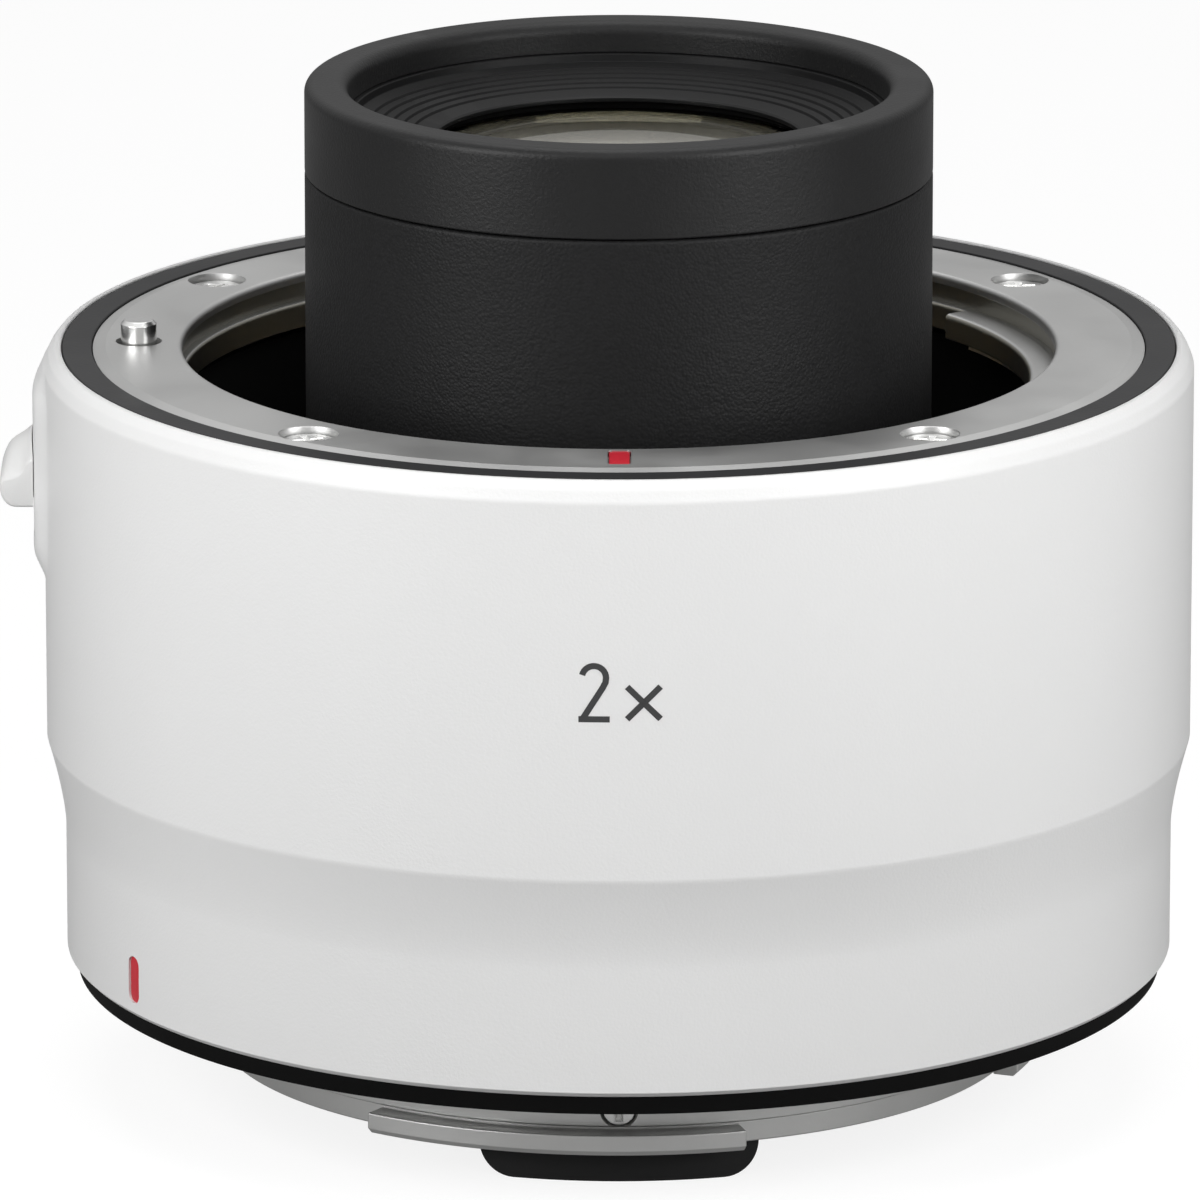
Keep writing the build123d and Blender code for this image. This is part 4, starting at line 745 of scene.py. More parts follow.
class Lathe:
    """Turns and repeats shapes with the shared Geometry Nodes trees."""

    def __init__(self, paints: Paintbox) -> None:
        """Keeps the paints and builds the two trees."""
        self.paints = paints
        self.tree = turned_tree()
        self.scatter = scatter_tree()

    def turn(
        self, name: str, profile: Sequence[Point2], segments: int, slot: str = "bayonet_metal",
        at: Vector = Vector(), **extra: float,
    ) -> Mesh:
        """Turns a closed profile, or one that starts and ends on the axis.

        Args:
            name: the mesh's name.
            profile: radius and height of each point, in mm.
            segments: how many columns the piece has round its axis.
            slot: the finish.
            at: where the piece's axis stands, in mm.
            extra: further inputs of the tree, by name with underscores.

        Returns:
            The turned mesh, in metres.
        """
        points = list(profile)
        if points[0][0] > 1e-6 or points[-1][0] > 1e-6:
            points.append(points[0])
        mesh = bpy.data.meshes.new(name + "_profile")
        mesh.from_pydata(
            [(r * MM, 0.0, z * MM) for r, z in points], [(i, i + 1) for i in range(len(points) - 1)], []
        )
        inputs: dict[str, object] = {"Segments": segments, "Finish": self.paints[slot]}
        inputs |= {key.replace("_", " "): value for key, value in extra.items()}
        mesh = run_tree(name, mesh, self.tree, inputs)
        for vertex in mesh.vertices:
            vertex.co += at * MM
        return mesh

    def repeat(self, name: str, shape: Mesh, places: Sequence[Vector], turns: Sequence[Corner]) -> Mesh:
        """Sets copies of a screw at places in mm, each turned by its angles in radians.

        Args:
            name: the mesh's name.
            shape: the mesh to repeat, which is used up.
            places: where each copy goes.
            turns: the Euler angles of each copy.

        Returns:
            One mesh with all the copies.
        """
        points = bpy.data.meshes.new(name + "_places")
        points.from_pydata([place * MM for place in places], [], [])
        turn = points.attributes.new("turn", "FLOAT_VECTOR", "POINT")
        for item, angles in zip(turn.data, turns):
            item.vector = angles
        source = put(shape, name + "_shape")
        inputs = {"Shape": source, "Size": 1.0, "Finish": self.paints["screw_steel"]}
        mesh = run_tree(name, points, self.scatter, inputs)
        drop(source)
        return mesh

    def cross_screw(self, name: str, head: Point2, shank: Point2, cross: Point2) -> Mesh:
        """Makes a countersunk screw along Z with a cross recess, its head's top at zero.

        Args:
            name: the mesh's name.
            head: the head's radius and the depth of its cone, in mm.
            shank: the shank's radius and the whole length.
            cross: the half width of the cross's arms at the face, and their reach from the middle.

        Returns:
            The mesh.
        """
        (wide, deep), (thin, length), (arm, reach) = head, shank, cross
        outline = rounded([
            (0.0, -length, 0.0), (thin, -length, 0.05), (thin, -deep - 0.06, 0.0), (wide, -0.1, 0.03),
            (wide - 0.03, 0.0, 0.05), (0.0, 0.0, 0.0),
        ], closed=False)
        levels = (
            (0.3, arm + 0.1, reach + 0.1), (0.0, arm, reach), (-0.06, arm * 0.72, reach - 0.05),
            (-0.62, arm * 0.5, reach * 0.42),
        )
        tools = []
        for along in (False, True):
            sections = []
            for height, half, out in levels:
                flat = [(-out, -half), (out, -half), (out, half), (-out, half)]
                sections.append([Vector((y, x, height) if along else (x, y, height)) for x, y in flat])
            tools.append(loft("cross_arm", sections))
        return carve(self.turn(name, outline, 48, "screw_steel"), tools)


def present(
    paints: Paintbox, name: str, mesh: Mesh, slot: str, nodes: Sequence[str] = (), body: str = "housing",
    finishes: Sequence[str] = (), pick: Optional[Callable[[Face], int]] = None,
) -> bpy.types.Object:
    """Makes a mesh a piece of the object.

    Args:
        paints: the materials.
        name: the piece's name.
        mesh: its mesh.
        slot: the record's slot of its finish.
        nodes: the nodes that it replaces.
        body: the body it rides on.
        finishes: its finishes, where they aren't the slot's own.
        pick: gives a face's place in the finishes, or the first one everywhere.

    Returns:
        The piece.
    """
    mesh.materials.clear()
    for finish in finishes or (slot,):
        mesh.materials.append(paints[finish])
    for face in mesh.polygons:
        face.material_index = pick(face) if pick else 0
    piece = put(mesh, name)
    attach(piece, body)
    if nodes:
        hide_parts(*nodes)
    LOG.info("%s: %d faces on %s", name, len(mesh.polygons), body)
    return piece


# ---------------------------------------------------------------- sub-assemblies


@dataclass
class Barrel:
    """The white outer barrel with its raised pad, its slot and its index bar. Sizes are in mm."""

    lathe: Lathe
    radius: float = 35.6
    waist_radius: float = 34.47
    waist_top: float = 8.9
    waist_curve: float = 1.5
    crease: float = 14.7
    foot: float = 0.83
    foot_chamfer: float = 0.3
    back_radius: float = 33.5
    foot_back_radius: float = 32.34
    foot_back_top: float = 3.8
    rim_radius: float = 34.5
    rim_height: float = 39.3
    rim_base: float = 37.4
    shoulder_radius: float = 34.87
    shoulder: Corner = (35.3, 38.78, 0.6)
    shoulder_end: float = 38.05
    pad_facing: float = -90.0
    pad_height: float = 0.7
    pad_half_width: float = 5.5
    pad_bottom: float = 24.6
    pad_top: float = 38.5
    pad_corner: float = 2.9
    pad_softness: float = 2.2
    pad_crowding: float = 0.86
    fine_margin: float = 0.7
    fine_top: float = 36.9
    fine_rows: int = 68
    slot_half_width: float = 2.9
    slot_bottom: float = 27.3
    slot_top: float = 32.9
    slot_corner: float = 0.5
    bar_azimuth: float = -59.7
    bar_bottom: float = 1.74
    bar_length: float = 2.96
    bar_width: float = 1.3
    bar_recess: float = 0.12

    def profile(self) -> list[Point2]:
        """Returns the shell's closed profile, fine where the pad rises."""
        wall, waist, foot = self.radius, self.waist_radius, self.foot
        points = rounded([
            (self.back_radius, self.rim_base, 0.0), (self.rim_radius, self.rim_base, 0.0),
            (self.rim_radius, self.rim_height, 0.12), (self.shoulder_radius, self.rim_height, 0.25),
            self.shoulder, (wall, self.shoulder_end, 0.7), (wall, 37.0, 0.0),
        ], steps=5, closed=False)
        low, high, rows = self.pad_bottom - self.fine_margin, self.fine_top, self.fine_rows
        points += [(wall, high - (high - low) * i / rows) for i in range(rows + 1)]
        points += [(wall, 20.0), (wall, self.crease + 0.12)]
        for i in range(25):
            share = 1 - i / 24
            points.append((
                waist + (wall - waist) * share ** self.waist_curve,
                self.waist_top + (self.crease - self.waist_top) * share,
            ))
        return points + [(waist, 5.0)] + rounded([
            (waist, 3.0, 0.0), (waist, foot + self.foot_chamfer, 0.08), (waist - self.foot_chamfer, foot, 0.08),
            (self.foot_back_radius, foot, 0.0), (self.foot_back_radius, self.foot_back_top, 0.0),
            (self.back_radius, self.foot_back_top, 0.0),
        ], closed=False)

    def shell(self) -> Mesh:
        """Turns the shell and cuts the lever's slot and the index bar's recess."""
        mesh = self.lathe.turn(
            "outer_barrel", self.profile(), 380, "white_paint", Facing=math.radians(self.pad_facing),
            Crowding=self.pad_crowding, Pad_Height=self.pad_height * MM, Pad_Radius=self.radius * MM,
            Pad_Half_Width=self.pad_half_width * MM, Pad_Bottom=self.pad_bottom * MM,
            Pad_Top=self.pad_top * MM, Pad_Corner=self.pad_corner * MM, Pad_Softness=self.pad_softness * MM,
        )
        slot = rectangle(self.slot_half_width, self.slot_bottom, self.slot_top, self.slot_corner)
        through = block("slot", slot, [(-38.0, 0.0), (-32.5, 0.0)], lambda y, z, x: Vector((x, y, z)))
        depth = self.waist_radius - self.bar_recess - 0.45
        return carve(mesh, [through, self.bar("recess", depth, self.waist_radius + 1.0, self.bar_width / 2, 0.0)])

    def bar(self, name: str, inner: float, outer: float, half: float, edge: float) -> Mesh:
        """Makes the index bar's stadium.

        Args:
            name: the mesh's name.
            inner: the radius of its back.
            outer: the radius of its front.
            half: half of its width.
            edge: the rounding of its front edge.

        Returns:
            The mesh.
        """
        outline = rectangle(half, self.bar_bottom, self.bar_bottom + self.bar_length, half, 8)
        stations = [(inner, 0.0)] + eased(outer, edge)
        return block(name, outline, stations, lambda x, z, radius: around(
            radius, self.bar_azimuth + math.degrees(x / self.waist_radius), z))

    def build(self) -> None:
        """Makes the barrel and its index bar."""
        paints = self.lathe.paints
        present(paints, "barrel_shell", self.shell(), "white_paint", ["outer_barrel"])
        face = self.waist_radius - self.bar_recess
        bar = self.bar("index_bar", face - 0.4, face, self.bar_width / 2 - 0.02, 0.08)
        present(paints, "index_bar", bar, "red_mark", ["barrel_index_bar"])


@dataclass
class MagnificationMark:
    """The printed magnification, a figure two and a times sign in plain strokes. Sizes are in mm."""

    lathe: Lathe
    radius: float = 35.6
    lift: float = 0.012
    layer_step: float = 0.00015
    stroke: float = 0.38
    figure_sides: Point2 = (-2.24, -0.80)
    figure_span: Point2 = (24.81, 28.08)
    base_ends: Point2 = (-2.45, -0.58)
    base_low: float = 24.6
    cross_centre: Point2 = (1.455, 25.8)
    cross_reach: float = 1.0

    def two(self) -> list[Point2]:
        """Returns the middle line of the figure two, without its base."""
        (left, right), (low, high) = self.figure_sides, self.figure_span
        middle, reach = (left + right) / 2, (right - left) / 2
        angles = [math.radians(a) for a in range(12, 181, 12)]
        bow = [(middle - reach * math.cos(a), high - reach + reach * math.sin(a)) for a in angles]
        sweep = [(right - 0.03, high - reach - 0.28), (right - 0.2, high - reach - 0.62)]
        return bow + sweep + [(left + 0.05, low + 0.02)]

    def ribbon(self, line: Sequence[Point2]) -> list[list[Point2]]:
        """Widens a line into four-sided pieces."""
        sides = []
        for place, point in enumerate(line):
            before, after = Vector(line[max(place - 1, 0)]), Vector(line[min(place + 1, len(line) - 1)])
            along = (after - before).normalized()
            across = Vector((-along.y, along.x)) * self.stroke / 2
            here = Vector(point)
            sides.append((tuple(here + across), tuple(here - across)))
        return [[near[0], far[0], far[1], near[1]] for near, far in zip(sides, sides[1:])]

    def lines(self) -> list[list[Point2]]:
        """Lists the middle lines of the figure, its base and the cross's arms."""
        level = self.base_low + self.stroke / 2
        (x, y), arm = self.cross_centre, self.cross_reach
        arms = [[(x - arm, y - side * arm), (x + arm, y + side * arm)] for side in (-1, 1)]
        return [self.two(), [(end, level) for end in self.base_ends], *arms]

    def build(self) -> None:
        """Makes the mark as a thin print that follows the barrel."""
        shape = bmesh.new()
        patches = [patch for line in self.lines() for patch in self.ribbon(line)]
        for number, patch in enumerate(patches):
            layer = self.radius + self.lift + number * self.layer_step
            shape.faces.new([shape.verts.new((x, layer, z)) for x, z in patch])
        bmesh.ops.subdivide_edges(shape, edges=shape.edges, cuts=7, use_grid_fill=True)
        for vertex in shape.verts:
            turn, reach, height = vertex.co.x / self.radius, vertex.co.y * MM, vertex.co.z * MM
            vertex.co = Vector((reach * math.sin(turn), -reach * math.cos(turn), height))
        for face in shape.faces:
            face.normal_update()
            if face.normal.y > 0:
                face.normal_flip()
        mesh = bpy.data.meshes.new("magnification_mark")
        shape.to_mesh(mesh)
        shape.free()
        present(self.lathe.paints, "magnification_mark", mesh, "dark_trim", finishes=["dark_print"])


@dataclass
class ReleaseLever:
    """The sliding lock-release lever, a thumb knob with an arched dish. Sizes are in mm."""

    lathe: Lathe
    pad_radius: float = 36.3
    gap: float = 0.06
    half_width: float = 3.4
    edge: float = 0.3
    dish: float = 2.2
    flatness: float = 0.95
    heart: Point2 = (37.2, 30.7)
    heart_reach: float = 1.7
    columns: int = 26
    ridge: tuple[Point2, ...] = (
        (36.46, 33.80), (36.66, 33.62), (36.92, 33.43), (37.20, 33.27), (37.48, 33.11), (37.72, 32.92),
        (37.94, 32.64), (38.12, 32.28), (38.25, 31.92), (38.33, 31.62), (38.38, 31.30),
    )
    side: tuple[Point2, ...] = (
        (36.46, 32.74), (36.56, 32.40), (36.70, 32.10), (36.88, 31.84), (37.10, 31.64), (37.36, 31.50),
        (37.64, 31.41), (37.90, 31.36), (38.12, 31.32), (38.26, 31.26), (38.35, 31.14),
    )
    foot: tuple[Point2, ...] = (
        (38.39, 30.9), (38.37, 30.62), (38.33, 30.38), (38.25, 30.14), (38.12, 29.92), (37.94, 29.73),
        (37.72, 29.59), (37.48, 29.52), (37.23, 29.5), (36.7, 29.5),
    )

    def section(self, across: float) -> list[Point2]:
        """Returns the knob's outline at a distance from its middle, as radius and height."""
        share = min(1.0, abs(across) / self.half_width) ** self.dish
        back = math.sqrt(self.pad_radius ** 2 - across ** 2) + self.gap
        top = [
            (a[0] * (1 - share) + b[0] * share, a[1] * (1 - share) + b[1] * share)
            for a, b in zip(self.ridge, self.side)
        ]
        top[0] = (back, top[0][1] + 0.05)
        outline = [*top, *self.foot, (back, self.foot[-1][1])]
        return [(back + (r - back) * self.flatness if r > back else r, z) for r, z in outline]

    def build(self) -> None:
        """Makes the knob and its stem as one piece."""
        stations = both_ends(self.half_width, self.edge, 5)
        inner = self.half_width - self.edge * 1.4
        middle = [(-inner + 2 * inner * i / self.columns, 0.0) for i in range(1, self.columns)]
        half = len(stations) // 2
        out, up = self.heart
        sections = []
        for across, drawn in stations[:half] + middle + stations[half:]:
            flat = self.section(across)
            shrink, back = 1.0 - drawn / self.heart_reach, flat[0][0]
            flat = [
                (max(back, out + (r - out) * shrink) if r > back else r, up + (z - up) * shrink)
                for r, z in flat
            ]
            sections.append([Vector((-r, across, z)) for r, z in flat])
        knob = loft("lever_knob", sections)
        stem = rectangle(1.4, 29.6, 32.6, 0.3)
        post = block("lever_stem", stem, [(-36.6, 0.0), (-31.2, 0.0)], lambda y, z, x: Vector((x, y, z)))
        present(self.lathe.paints, "lever_knob", joined("lever_knob", [knob, post]), "white_lever",
                ["release_lever"], body="lever")


@dataclass
class LensMount:
    """The lens-side bayonet: its ring, claws, trim, screws, index mark and lock pin. Sizes are in mm."""

    lathe: Lathe
    face: float = 39.3
    throat: float = 27.0
    outer: float = 32.55
    claw_radius: float = 25.4
    claw_top: float = 37.4
    claw_bottom: float = 35.8
    claw_root: float = 27.2
    claw_end_round: float = 0.14
    claws: tuple[Point2, ...] = ((76.0, 50.0), (-20.0, 50.0), (174.0, 46.0))
    screw_azimuths: tuple[float, ...] = (-38.6, 38.6, -122.5, 122.5)
    screw_turns: tuple[float, ...] = (20.0, -12.0, 48.0, 5.0)
    screw_circle: float = 30.0
    screw_level: float = 38.93
    sink: tuple[Point2, ...] = (
        (0.0, 40.0), (2.3, 40.0), (1.86, 39.34), (1.79, 39.22), (1.78, 38.8), (1.12, 38.34), (1.05, 38.2),
        (1.05, 36.0), (0.0, 36.0),
    )
    pin_circle: float = 29.7
    pin_azimuth: float = -90.0
    pin_radius: float = 1.11
    pin_hole: float = 1.42
    pin_ends: Point2 = (22.2, 40.66)
    pin_chamfer: Point2 = (0.22, 0.24)
    collar_radius: float = 1.45
    collar_span: Point2 = (28.5, 29.3)
    mark_inner: float = 27.6
    mark_outer: float = 30.9
    mark_width: float = 1.42
    trim_radii: Point2 = (32.61, 34.43)
    trim_top: float = 39.24

    def ring(self) -> Mesh:
        """Makes the ring with its claws, sinks, pin hole and mark recess."""
        top, low = self.claw_top, self.claw_bottom
        outline = rounded([
            (self.outer, top, 0.0), (self.outer, 39.12, 0.04), (self.outer - 0.8, self.face, 0.06),
            (self.throat, self.face, 0.45), (self.throat, 38.65, 0.05), (27.5, 38.65, 0.0),
            (27.5, top, 0.0), (26.9, top, 0.22), (26.9, low, 0.0), (28.8, low, 0.0), (28.8, top, 0.0),
        ], steps=5)
        ring = self.lathe.turn("lens_mount_ring", outline, 240)
        tools = [
            self.lathe.turn("sink", self.sink, 48, at=around(self.screw_circle, azimuth))
            for azimuth in self.screw_azimuths
        ]
        hole = [(0.0, 40.0), (1.75, 40.0), (self.pin_hole + 0.02, 39.31), (self.pin_hole, 39.22),
                (self.pin_hole, 35.0), (0.0, 35.0)]
        tools.append(self.lathe.turn("pin_hole", hole, 48, at=around(self.pin_circle, self.pin_azimuth)))
        tools.append(self.mark("mark_recess", 38.95, 40.0, self.mark_width / 2, 0.0))
        claw = rounded([
            (self.claw_radius, low, 0.1), (self.claw_root, low, 0.0), (self.claw_root, top, 0.0),
            (self.claw_radius, top, 0.3),
        ], steps=5)
        teeth = [swept("claw", claw, start, sweep, self.claw_end_round) for start, sweep in self.claws]
        return joined("lens_mount_ring", [carve(ring, tools)] + teeth)

    def mark(self, name: str, low: float, high: float, half: float, edge: float) -> Mesh:
        """Makes the index mark's rounded block between two heights, with its upper edge rounded."""
        outline = rectangle(half, -self.mark_outer, -self.mark_inner, 0.3, 5)
        return block(name, outline, [(low, 0.0)] + eased(high, edge), lambda x, y, z: Vector((x, y, z)))

    def is_painted_shade_face(self, face: Face) -> int:
        """Tells the throat's inward faces, which get the darker bayonet steel as painted shade, from the bright
        ones.
        """
        centre = face.center / MM
        reach = math.hypot(centre.x, centre.y)
        inward = face.normal.x * centre.x + face.normal.y * centre.y < -0.55 * reach
        return int(reach < 27.7 and inward and centre.z < 38.6)

    def screws(self) -> Mesh:
        """Makes the four cross-recess screws."""
        screw = self.lathe.cross_screw("mount_screw", (1.46, 0.5), (1.0, 4.4), (0.24, 1.0))
        places = [around(self.screw_circle, azimuth, self.screw_level) for azimuth in self.screw_azimuths]
        turns = [(0.0, 0.0, math.radians(angle)) for angle in self.screw_turns]
        return self.lathe.repeat("mount_screws", screw, places, turns)

    def pin(self) -> Mesh:
        """Makes the sprung lock pin with its broad chamfer and collar."""
        r, (low, high), (cut, down) = self.pin_radius, self.pin_ends, self.pin_chamfer
        collar, (bottom, top) = self.collar_radius, self.collar_span
        outline = rounded([
            (0.0, low, 0.0), (r, low, 0.05), (r, bottom, 0.0), (collar, bottom, 0.05), (collar, top, 0.05),
            (r, top, 0.0), (r, high - down, 0.06), (r - cut, high, 0.06), (0.0, high, 0.0),
        ], closed=False)
        return self.lathe.turn(
            "lock_pin", outline, 72, "screw_steel", around(self.pin_circle, self.pin_azimuth)
        )

    def trim(self) -> Mesh:
        """Turns the dark band round the mount."""
        (inner, outer), low, top = self.trim_radii, self.claw_top, self.trim_top
        outline = rounded([(outer, low, 0.0), (outer, top, 0.1), (inner, top, 0.08), (inner, low, 0.0)])
        return self.lathe.turn("trim_band", outline, 240, "dark_trim")

    def build(self) -> None:
        """Makes every visible piece of the lens side."""
        paints = self.lathe.paints
        # The throat's inward faces take the darker copy of the steel: painted shade.
        present(paints, "lens_mount", self.ring(), "bayonet_metal", ["lens_mount_ring"],
                finishes=["bayonet_metal", "bayonet_recess"], pick=self.is_painted_shade_face)
        present(paints, "mount_screws", self.screws(), "screw_steel", ["lens_mount_screws"])
        mark = self.mark("index_mark", 38.96, self.face - 0.04, self.mark_width / 2 - 0.08, 0.08)
        present(paints, "index_mark", mark, "red_mark", ["lens_index_mark"])
        present(paints, "lock_pin_turned", self.pin(), "screw_steel", ["lock_pin"], body="latch")
        present(paints, "trim_band", self.trim(), "dark_trim", ["trim_ring"])


@dataclass
class LensTube:
    """The black tube with its cap, baffle ring and front glass. Sizes are in mm."""

    lathe: Lathe
    radius: float = 19.38
    bore: float = 17.9
    spigot: float = 18.4
    foot: float = 6.5
    seam: float = 50.2
    cap_bottom: float = 50.3
    top: float = 55.8
    lip: float = 16.65
    cone_outer: Point2 = (15.75, 53.25)
    cone_inner: Point2 = (11.55, 52.22)
    grooves: int = 5
    groove_start: float = 0.10
    groove_pitch: float = 0.155
    groove_width: float = 0.26
    groove_depth: float = 0.13
    glass_radius: float = 13.0
    glass_top: float = 52.5
    glass_sag: float = 1.5
    glass_back_radius: float = 12.98
    glass_back: float = 48.51
    glass_back_sag: float = 1.49

    def tube(self) -> Mesh:
        """Turns the tube with its spigot."""
        outline = rounded([
            (self.bore, self.foot, 0.0), (self.radius, self.foot, 0.2), (self.radius, self.seam, 0.22),
            (self.spigot, self.seam, 0.0), (self.spigot, 52.5, 0.1), (self.bore, 52.5, 0.0),
        ])
        return self.lathe.turn("lens_tube", outline, 240, "tube_black")

    def cap(self) -> Mesh:
        """Turns the smooth cap ring with its rounded lip."""
        outline = rounded([
            (18.5, self.cap_bottom, 0.0), (self.radius, self.cap_bottom, 0.12), (self.radius, self.top, 0.6),
            (self.lip, self.top, 0.75), (self.lip, 53.9, 0.03), (18.5, 53.9, 0.0),
        ], steps=8)
        return self.lathe.turn("tube_cap", outline, 240, "cap_black")

    def baffle(self) -> Mesh:
        """Turns the shallow grooved cone inside the cap."""
        (outer, top), (inner, low) = self.cone_outer, self.cone_inner
        width, depth = self.groove_width, self.groove_depth
        shifts = ((-width, 0.0), (-width * 0.35, depth), (width * 0.35, depth), (width, 0.0))
        slope: list[Corner] = []
        for i in range(self.grooves):
            for shift, sunk in shifts:
                share = self.groove_start + self.groove_pitch * i + shift / 2 / (outer - inner)
                slope.append((outer + (inner - outer) * share, top + (low - top) * share - sunk, 0.02))
        outline = rounded([
            (self.spigot, 52.55, 0.0), (self.spigot, 53.87, 0.0), (16.3, 53.87, 0.09), (16.2, 53.4, 0.08),
            (outer, top, 0.05), *slope, (inner, low, 0.06), (11.4, 52.12, 0.05), (11.4, 51.87, 0.05),
            (15.8, 52.56, 0.0),
        ])
        return self.lathe.turn("front_baffle", outline, 192, "cap_black")

    def glass(self) -> Mesh:
        """Turns the front element, with its curved faces and ground edge."""
        front = [
            (self.glass_radius * i / 24, self.glass_top - self.glass_sag * (i / 24) ** 2) for i in range(25)
        ]
        back = [
            (self.glass_back_radius * i / 12, self.glass_back + self.glass_back_sag * (i / 12) ** 2)
            for i in range(12, -1, -1)
        ]
        return self.lathe.turn("front_glass", front + back, 128, "optical_glass")

    def is_ground_edge(self, face: Face) -> int:
        """Tells the glass's blackened edge from its polished faces."""
        return int(abs(face.normal.z) < 0.5)

    def build(self) -> None:
        """Makes the tube, its cap, the baffle ring and the front glass."""
        paints = self.lathe.paints
        present(paints, "tube_body", self.tube(), "tube_black", ["lens_tube"])
        present(paints, "tube_cap_ring", self.cap(), "cap_black", ["tube_cap"])
        present(paints, "front_baffle", self.baffle(), "cap_black", ["front_baffle_ring"],
                finishes=["baffle_black"])
        present(paints, "front_glass", self.glass(), "optical_glass", ["lens_element_1"],
                finishes=["optical_glass", "liner_black"], pick=self.is_ground_edge)


@dataclass
class CameraMount:
    """The camera-side bayonet: its ring, claws, screws and seal. Sizes are in mm."""

    lathe: Lathe
    flange_radius: float = 33.0
    flange_step: float = 0.35
    back_radius: float = 32.2
    back: float = 2.2
    neck: float = 25.3
    neck_end: float = 25.1
    bore: float = 23.95
    step: float = -3.76
    end: float = -5.15
    claw_radius: float = 26.65
    claw_chamfer: float = 0.35
    claw_root: float = 25.0
    claw_top: float = -3.95
    claw_bottom: float = -5.3
    claw_end_round: float = 0.12
    claws: tuple[Point2, ...] = ((-35.3, 52.3), (68.3, 44.2), (156.0, 52.0))
    screw_circle: float = 29.3
    screw_level: float = 0.1
    screw_azimuths: tuple[float, ...] = (45.0, 135.0, 225.0, 315.0)
    screw_turns: tuple[float, ...] = (15.0, 40.0, -20.0, 62.0)
    sink: tuple[Point2, ...] = (
        (0.0, -1.0), (2.6, -1.0), (1.93, -0.05), (1.85, 0.06), (1.0, 1.0), (1.0, 3.0), (0.0, 3.0),
    )
    lock_circle: float = 29.7
    lock_azimuth: float = -90.0
    lock_hole: tuple[Point2, ...] = (
        (0.0, -1.0), (2.2, -1.0), (1.47, -0.04), (1.45, 0.02), (1.45, 3.0), (0.0, 3.0),
    )
    side_screw_azimuths: tuple[float, ...] = (0.0, 120.0, -120.0)
    side_screw_depth: float = -2.7
    seat: tuple[Point2, ...] = (
        (0.0, 22.0), (0.63, 22.0), (0.63, 24.66), (1.16, 25.2), (1.24, 25.4), (1.24, 26.4), (0.0, 26.4),
    )
    ear_circle: float = 22.6
    ear_azimuths: tuple[float, ...] = (141.0, 219.0)
    ear_turns: tuple[float, ...] = (10.0, 55.0)
    ear_face: float = -4.35

    def side_seat(self, azimuth: float) -> Mesh:
        """Turns a side screw's seat and lays it along a radius, from the neck inwards."""
        mesh = self.lathe.turn("side_seat", self.seat, 40)
        out, across = around(1.0, azimuth), around(1.0, azimuth + 90.0)
        for vertex in mesh.vertices:
            x, y, z = vertex.co
            vertex.co = out * z + across * x + Vector((0.0, 0.0, y + self.side_screw_depth * MM))
        return joined("side_seat", [mesh])

    def ring(self) -> Mesh:
        """Makes the ring with its claws, sinks, lock hole and side screw seats."""
        neck, groove = self.neck_end, self.neck_end - 0.12
        outline = rounded([
            (self.bore, self.end, 0.12), (neck, self.end, 0.1), (neck, self.step - 0.08, 0.03),
            (groove, self.step - 0.04, 0.0), (groove, self.step, 0.0), (self.neck, self.step, 0.06),
            (self.neck, 0.0, 0.04), (self.flange_radius, 0.0, 0.1), (self.flange_radius, self.flange_step, 0.0),
            (self.back_radius, self.flange_step, 0.0), (self.back_radius, self.back, 0.1),
            (self.bore, self.back, 0.1),
        ])
        ring = self.lathe.turn("camera_mount_ring", outline, 240)
        tools = [
            self.lathe.turn("sink", self.sink, 48, at=around(self.screw_circle, azimuth))
            for azimuth in self.screw_azimuths
        ]
        lock = around(self.lock_circle, self.lock_azimuth)
        tools.append(self.lathe.turn("lock_hole", self.lock_hole, 48, at=lock))
        tools += [self.side_seat(azimuth) for azimuth in self.side_screw_azimuths]
        root, reach, low, chamfer = self.claw_root, self.claw_radius, self.claw_bottom, self.claw_chamfer
        claw = rounded([
            (root, low, 0.08), (reach - chamfer, low, 0.08), (reach, low + chamfer, 0.08),
            (reach, self.claw_top, 0.1), (root, self.claw_top, 0.0),
        ])
        teeth = [swept("claw", claw, start, sweep, self.claw_end_round) for start, sweep in self.claws]
        return joined("camera_mount_ring", [carve(ring, tools)] + teeth)

    def screws(self) -> Mesh:
        """Makes the four screws of the flange, heads down."""
        screw = self.lathe.cross_screw("flange_screw", (1.65, 0.66), (0.95, 4.35), (0.30, 1.1))
        places = [around(self.screw_circle, azimuth, self.screw_level) for azimuth in self.screw_azimuths]
        turns = [(math.pi, 0.0, math.radians(angle)) for angle in self.screw_turns]
        return self.lathe.repeat("flange_screws", screw, places, turns)

    def small_screws(self) -> Mesh:
        """Makes the three screws in the neck and the two of the contact block."""
        screw = self.lathe.cross_screw("small_screw", (1.0, 0.42), (0.6, 2.9), (0.27, 0.78))
        sides, head = self.side_screw_azimuths, self.neck - 0.04
        places = [around(head, azimuth, self.side_screw_depth) for azimuth in sides]
        places += [around(self.ear_circle, azimuth, self.ear_face) for azimuth in self.ear_azimuths]
        turns = [(math.pi / 2, 0.0, math.radians(azimuth)) for azimuth in sides]
        turns += [(math.pi, 0.0, math.radians(angle)) for angle in self.ear_turns]
        return self.lathe.repeat("small_screws", screw, places, turns)

    def is_shaded(self, face: Face) -> int:
        """Tells the claws' tops and the neck's groove, which the flange shades, from the bright faces; the shaded
        ones get the darker steel as painted shade.
        """
        return int(face.normal.z > 0.6 and face.center.z / MM < self.step + 0.01)

    def seal(self) -> Mesh:
        """Turns the rubber seal with its soft outer edge."""
        outline = rounded([
            (33.05, -0.41, 0.1), (33.78, -0.41, 0.16), (34.1, 0.83, 0.1), (32.3, 0.83, 0.0), (32.3, 0.36, 0.0),
            (33.05, 0.36, 0.0),
        ])
        return self.lathe.turn("seal_ring", outline, 240, "rubber_black")

